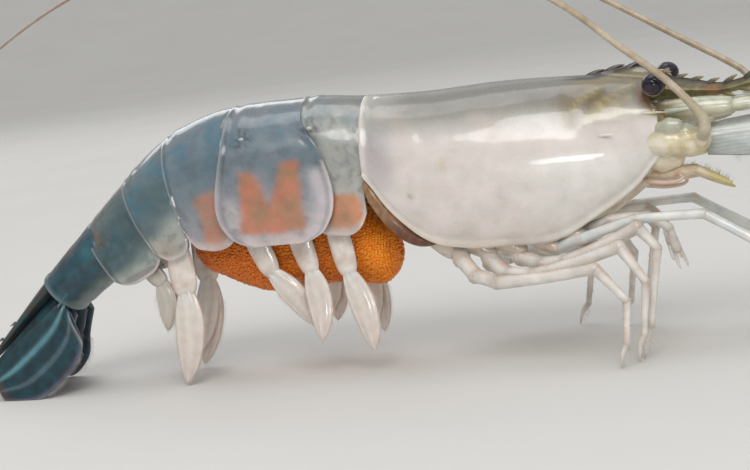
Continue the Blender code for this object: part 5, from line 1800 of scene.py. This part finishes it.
@dataclass
class Brood(SubAssembly):
    """Mass of eggs held between the swimming legs."""

    top: Table = ((-43, 31.5), (-38, 34.5), (-30, 40.5), (-12, 41.5), (-5, 39.5), (-1, 32.4), (3.6, 30.6))
    low: Table = ((-43, 26.0), (-37, 22.2), (-26, 17.8), (-14, 18.8), (-5, 17.9), (-1, 17.8), (3.6, 19.0))
    half: Table = ((-43, 5.0), (-38, 6.4), (-28, 7.9), (-8, 8.05), (-1, 7.9), (3.6, 7.0))
    ends: tuple[float, float] = (-43.0, 3.6)
    round_length: float = 3.8
    # The eggs are kept in parts between these x, none of them too heavy
    cuts: tuple[float, ...] = (-50.0, -29.0, -18.0, -8.0, 10.0)
    # Real eggs are 0.55 mm across; these are drawn at 0.78 so that the mass has half as many
    egg: float = 0.39

    def surface(self, x: float, turn: float, inset: float = 0.0) -> Vector:
        """Point of the mass's skin at an x and a turn round it."""
        top, low, half = at(self.top, x), at(self.low, x), at(self.half, x)
        lump = 0.5 * ruffle(Vector((x, 7 * sin(turn), 7 * cos(turn))), 5.0) - 0.25 - inset
        tall = max(0.1, ((top - low) / 2 + lump) * self.rounding(x))
        wide = max(0.1, (half + lump * 0.8) * self.rounding(x))
        return Vector((x, wide * sin(turn), (top + low) / 2 + tall * cos(turn)))

    def rounding(self, x: float) -> float:
        """Share of its full size that the mass has at an x, falling to 0 at both ends."""
        reach = max(self.ends[0] + self.round_length - x, x - self.ends[1] + self.round_length, 0.0)
        return sqrt(max(0.0, 1 - (reach / self.round_length) ** 2))

    @staticmethod
    def colour(point: Vector, around: float, share: float) -> Colour:
        """Orange yolk, brighter in the front lobe and darker behind, with dark red-brown clouds that are
        painted shade in its folds.
        """
        return layered(
            "#EC8414", ("#DC7410", 0.35 + 0.8 * ruffle(point, 3.2)), ("#F6900C", 0.95 * ramp(point.x + 8, 8)),
            ("#D26614", 0.5 * ramp(-20 - point.x, 12)),
            # Painted shade: dark red-brown clouds standing for the shade in the folds of the mass.
            ("#A84A16", 0.4 * smooth(ruffle(point + Vector((40, 0, 0)), 4.0) * 2.4 - 0.6)))

    def build(self) -> None:
        """Makes the mass and sets its eggs."""
        rows = []
        for k in range(64):
            x = self.ends[0] + 0.5 + (self.ends[1] - self.ends[0] - 0.9) * (1 - cos(pi * k / 63)) / 2
            rows.append([self.surface(x, turn, 0.36) for turn in turns(56)])
        self.add(skin("egg_mass_body", rows, self.colour), EGG_YOLK, "eggs", "egg_mass")
        dice = random.Random(17)
        places = []
        pitch = self.egg * 1.72
        x = self.ends[0] + 0.1
        while x < self.ends[1] - 0.02:
            share = self.rounding(x)
            half, tall = at(self.half, x) * share, (at(self.top, x) - at(self.low, x)) / 2 * share
            count = max(6, round(2 * pi * sqrt((half * half + tall * tall) / 2) / pitch))
            shift = dice.random()
            for k in range(count):
                turn = 2 * pi * (k + shift) / count + dice.uniform(-0.02, 0.02)
                places.append(self.surface(x + dice.uniform(-0.14, 0.14), turn,
                    0.3 + dice.uniform(-0.14, 0.2)))
            x += pitch * 0.87 * max(0.12, share)
        for number, (rear, front) in enumerate(zip(self.cuts, self.cuts[1:])):
            centres = [place for place in places if rear <= place.x < front]
            pick()
            bpy.ops.mesh.primitive_ico_sphere_add(subdivisions=2, radius=1.0)
            model = bpy.context.object
            sizes = [self.egg * dice.uniform(0.88, 1.1) for _ in centres]
            tilts = [Matrix.Rotation(dice.uniform(0, 3), 4, "X") @ Matrix.Diagonal((1.1, 1.0, 0.95, 1.0))
                for _ in centres]
            matrices = [Matrix.Translation(centre) @ Matrix.Scale(size, 4) @ tilt
                for centre, size, tilt in zip(centres, sizes, tilts)]
            shades = [blend(self.colour(centre, 0, 0), linear("#F4A638"), dice.uniform(0.0, 0.16))
                for centre in centres]
            self.add(strewn(f"eggs_{number + 1}", model, matrices, shades), EGG_YOLK, "eggs")


# Studio


@dataclass
class Studio:
    """Pale floor, soft lights and the camera at the photograph's angle."""

    azimuth: float = radians(14)
    elevation: float = radians(7.5)
    roll: float = radians(7.3)
    lens: float = 85.0
    sensor: float = 36.0
    distance: float = 389.6
    target: Place = (-2.0, 0.0, 28.5)
    # Floor and backdrop as (radius, height) in metres
    bowl: Table = ((0.0, 0.0), (1.6, 0.0), (2.2, 0.06), (2.7, 0.32), (3.0, 0.8), (3.1, 1.5))
    floor_gap: float = 0.05

    def floor(self) -> None:
        """Lays a wide sheet of pale paper that curves up far away, all round."""
        rows = []
        for k in range(60):
            radius = self.bowl[-1][0] * k / 59
            height = at(self.bowl, radius)
            rows.append([Vector((radius * cos(turn), radius * sin(turn), height)) / MM
                - AXIS / MM - Vector((0, 0, self.floor_gap)) for turn in turns(96)])
        paper = skin("studio_floor", rows, plain("#DAD8D4"), capped=False)
        paper.data.materials.append(material(FLOOR_PAPER))

    def lamp(self, name: str, place: Place, size: tuple[float, float], power: float,
            colour: Colour = (1, 1, 1), fan: float = 180.0) -> None:
        """Hangs a soft area light that points at the animal's middle.

        Args:
            name: The light's name.
            place: Where it hangs, in millimetres.
            size: Width and height in metres.
            power: Watts.
            colour: Its linear colour.
            fan: Angle in degrees that its light fans out over.
        """
        data = bpy.data.lights.new(name, "AREA")
        data.spread = radians(fan)
        data.shape = "ELLIPSE"
        data.size, data.size_y = size
        data.energy = power
        data.color = colour
        made = bpy.data.objects.new(name, data)
        bpy.context.scene.collection.objects.link(made)
        spot = Vector(place) * MM + AXIS
        made.location = spot
        aim = Vector(self.target) * MM + AXIS - spot
        made.rotation_euler = aim.to_track_quat("-Z", "Y").to_euler()

    def camera(self) -> None:
        """Sets the camera at the photograph's distance, angle and tilt."""
        data = bpy.data.cameras.new("photo_camera")
        data.lens = self.lens
        data.sensor_width = self.sensor
        data.clip_start = 0.01
        data.clip_end = 20.0
        made = bpy.data.objects.new("photo_camera", data)
        bpy.context.scene.collection.objects.link(made)
        sin_a, cos_a = sin(self.azimuth), cos(self.azimuth)
        sin_e, cos_e = sin(self.elevation), cos(self.elevation)
        back = Vector((sin_a * cos_e, -cos_a * cos_e, sin_e))
        right = Vector((cos_a, sin_a, 0))
        up = back.cross(right)
        across = right * cos(self.roll) - up * sin(self.roll)
        upright = right * sin(self.roll) + up * cos(self.roll)
        place = (Vector(self.target) + back * self.distance) * MM + AXIS
        turn = Matrix((across, upright, back)).transposed().to_4x4()
        made.matrix_world = Matrix.Translation(place) @ turn
        bpy.context.scene.camera = made

    def build(self) -> None:
        """Sets up floor, lights, pale surroundings and camera."""
        self.floor()
        self.camera()
        self.lamp("key", (200, -1000, 1000), (1.1, 0.8), 9.0, (1.0, 0.985, 0.97))
        self.lamp("low_front", (150, -640, 62), (0.17, 0.06), 0.02, (1.0, 1.0, 1.0), 50.0)
        self.lamp("top", (-160, 160, 1300), (0.9, 0.6), 2.0, (0.97, 0.98, 1.0))
        self.lamp("rim", (-700, 1000, 700), (0.9, 0.6), 2.0, (0.97, 0.98, 1.0))
        world = bpy.data.worlds.new("pale_studio")
        world.use_nodes = True
        world.node_tree.nodes["Background"].inputs["Color"].default_value = (*linear("#E4E6E8"), 1.0)
        world.node_tree.nodes["Background"].inputs["Strength"].default_value = 0.8
        bpy.context.scene.world = world
        bpy.context.scene.view_settings.view_transform = "Standard"


def main() -> None:
    """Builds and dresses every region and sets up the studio."""
    logging.basicConfig(level=logging.INFO, format="%(name)s: %(message)s")
    regions = (Carapace(), Chest(), Rostrum(), Eyes(), Antennules(), Antennae(), Mouthparts(), Legs(),
        Abdomen(), TailFan(), Swimmerets(), Brood())
    for region in regions:
        region.build()
        region.dress()
        for piece, *_ in region.made:
            LOG.info("%s: %s with %d faces", type(region).__name__, piece.name, len(piece.data.polygons))
    Studio().build()
    bpy.context.view_layer.update()


if __name__ == "__main__":
    main()
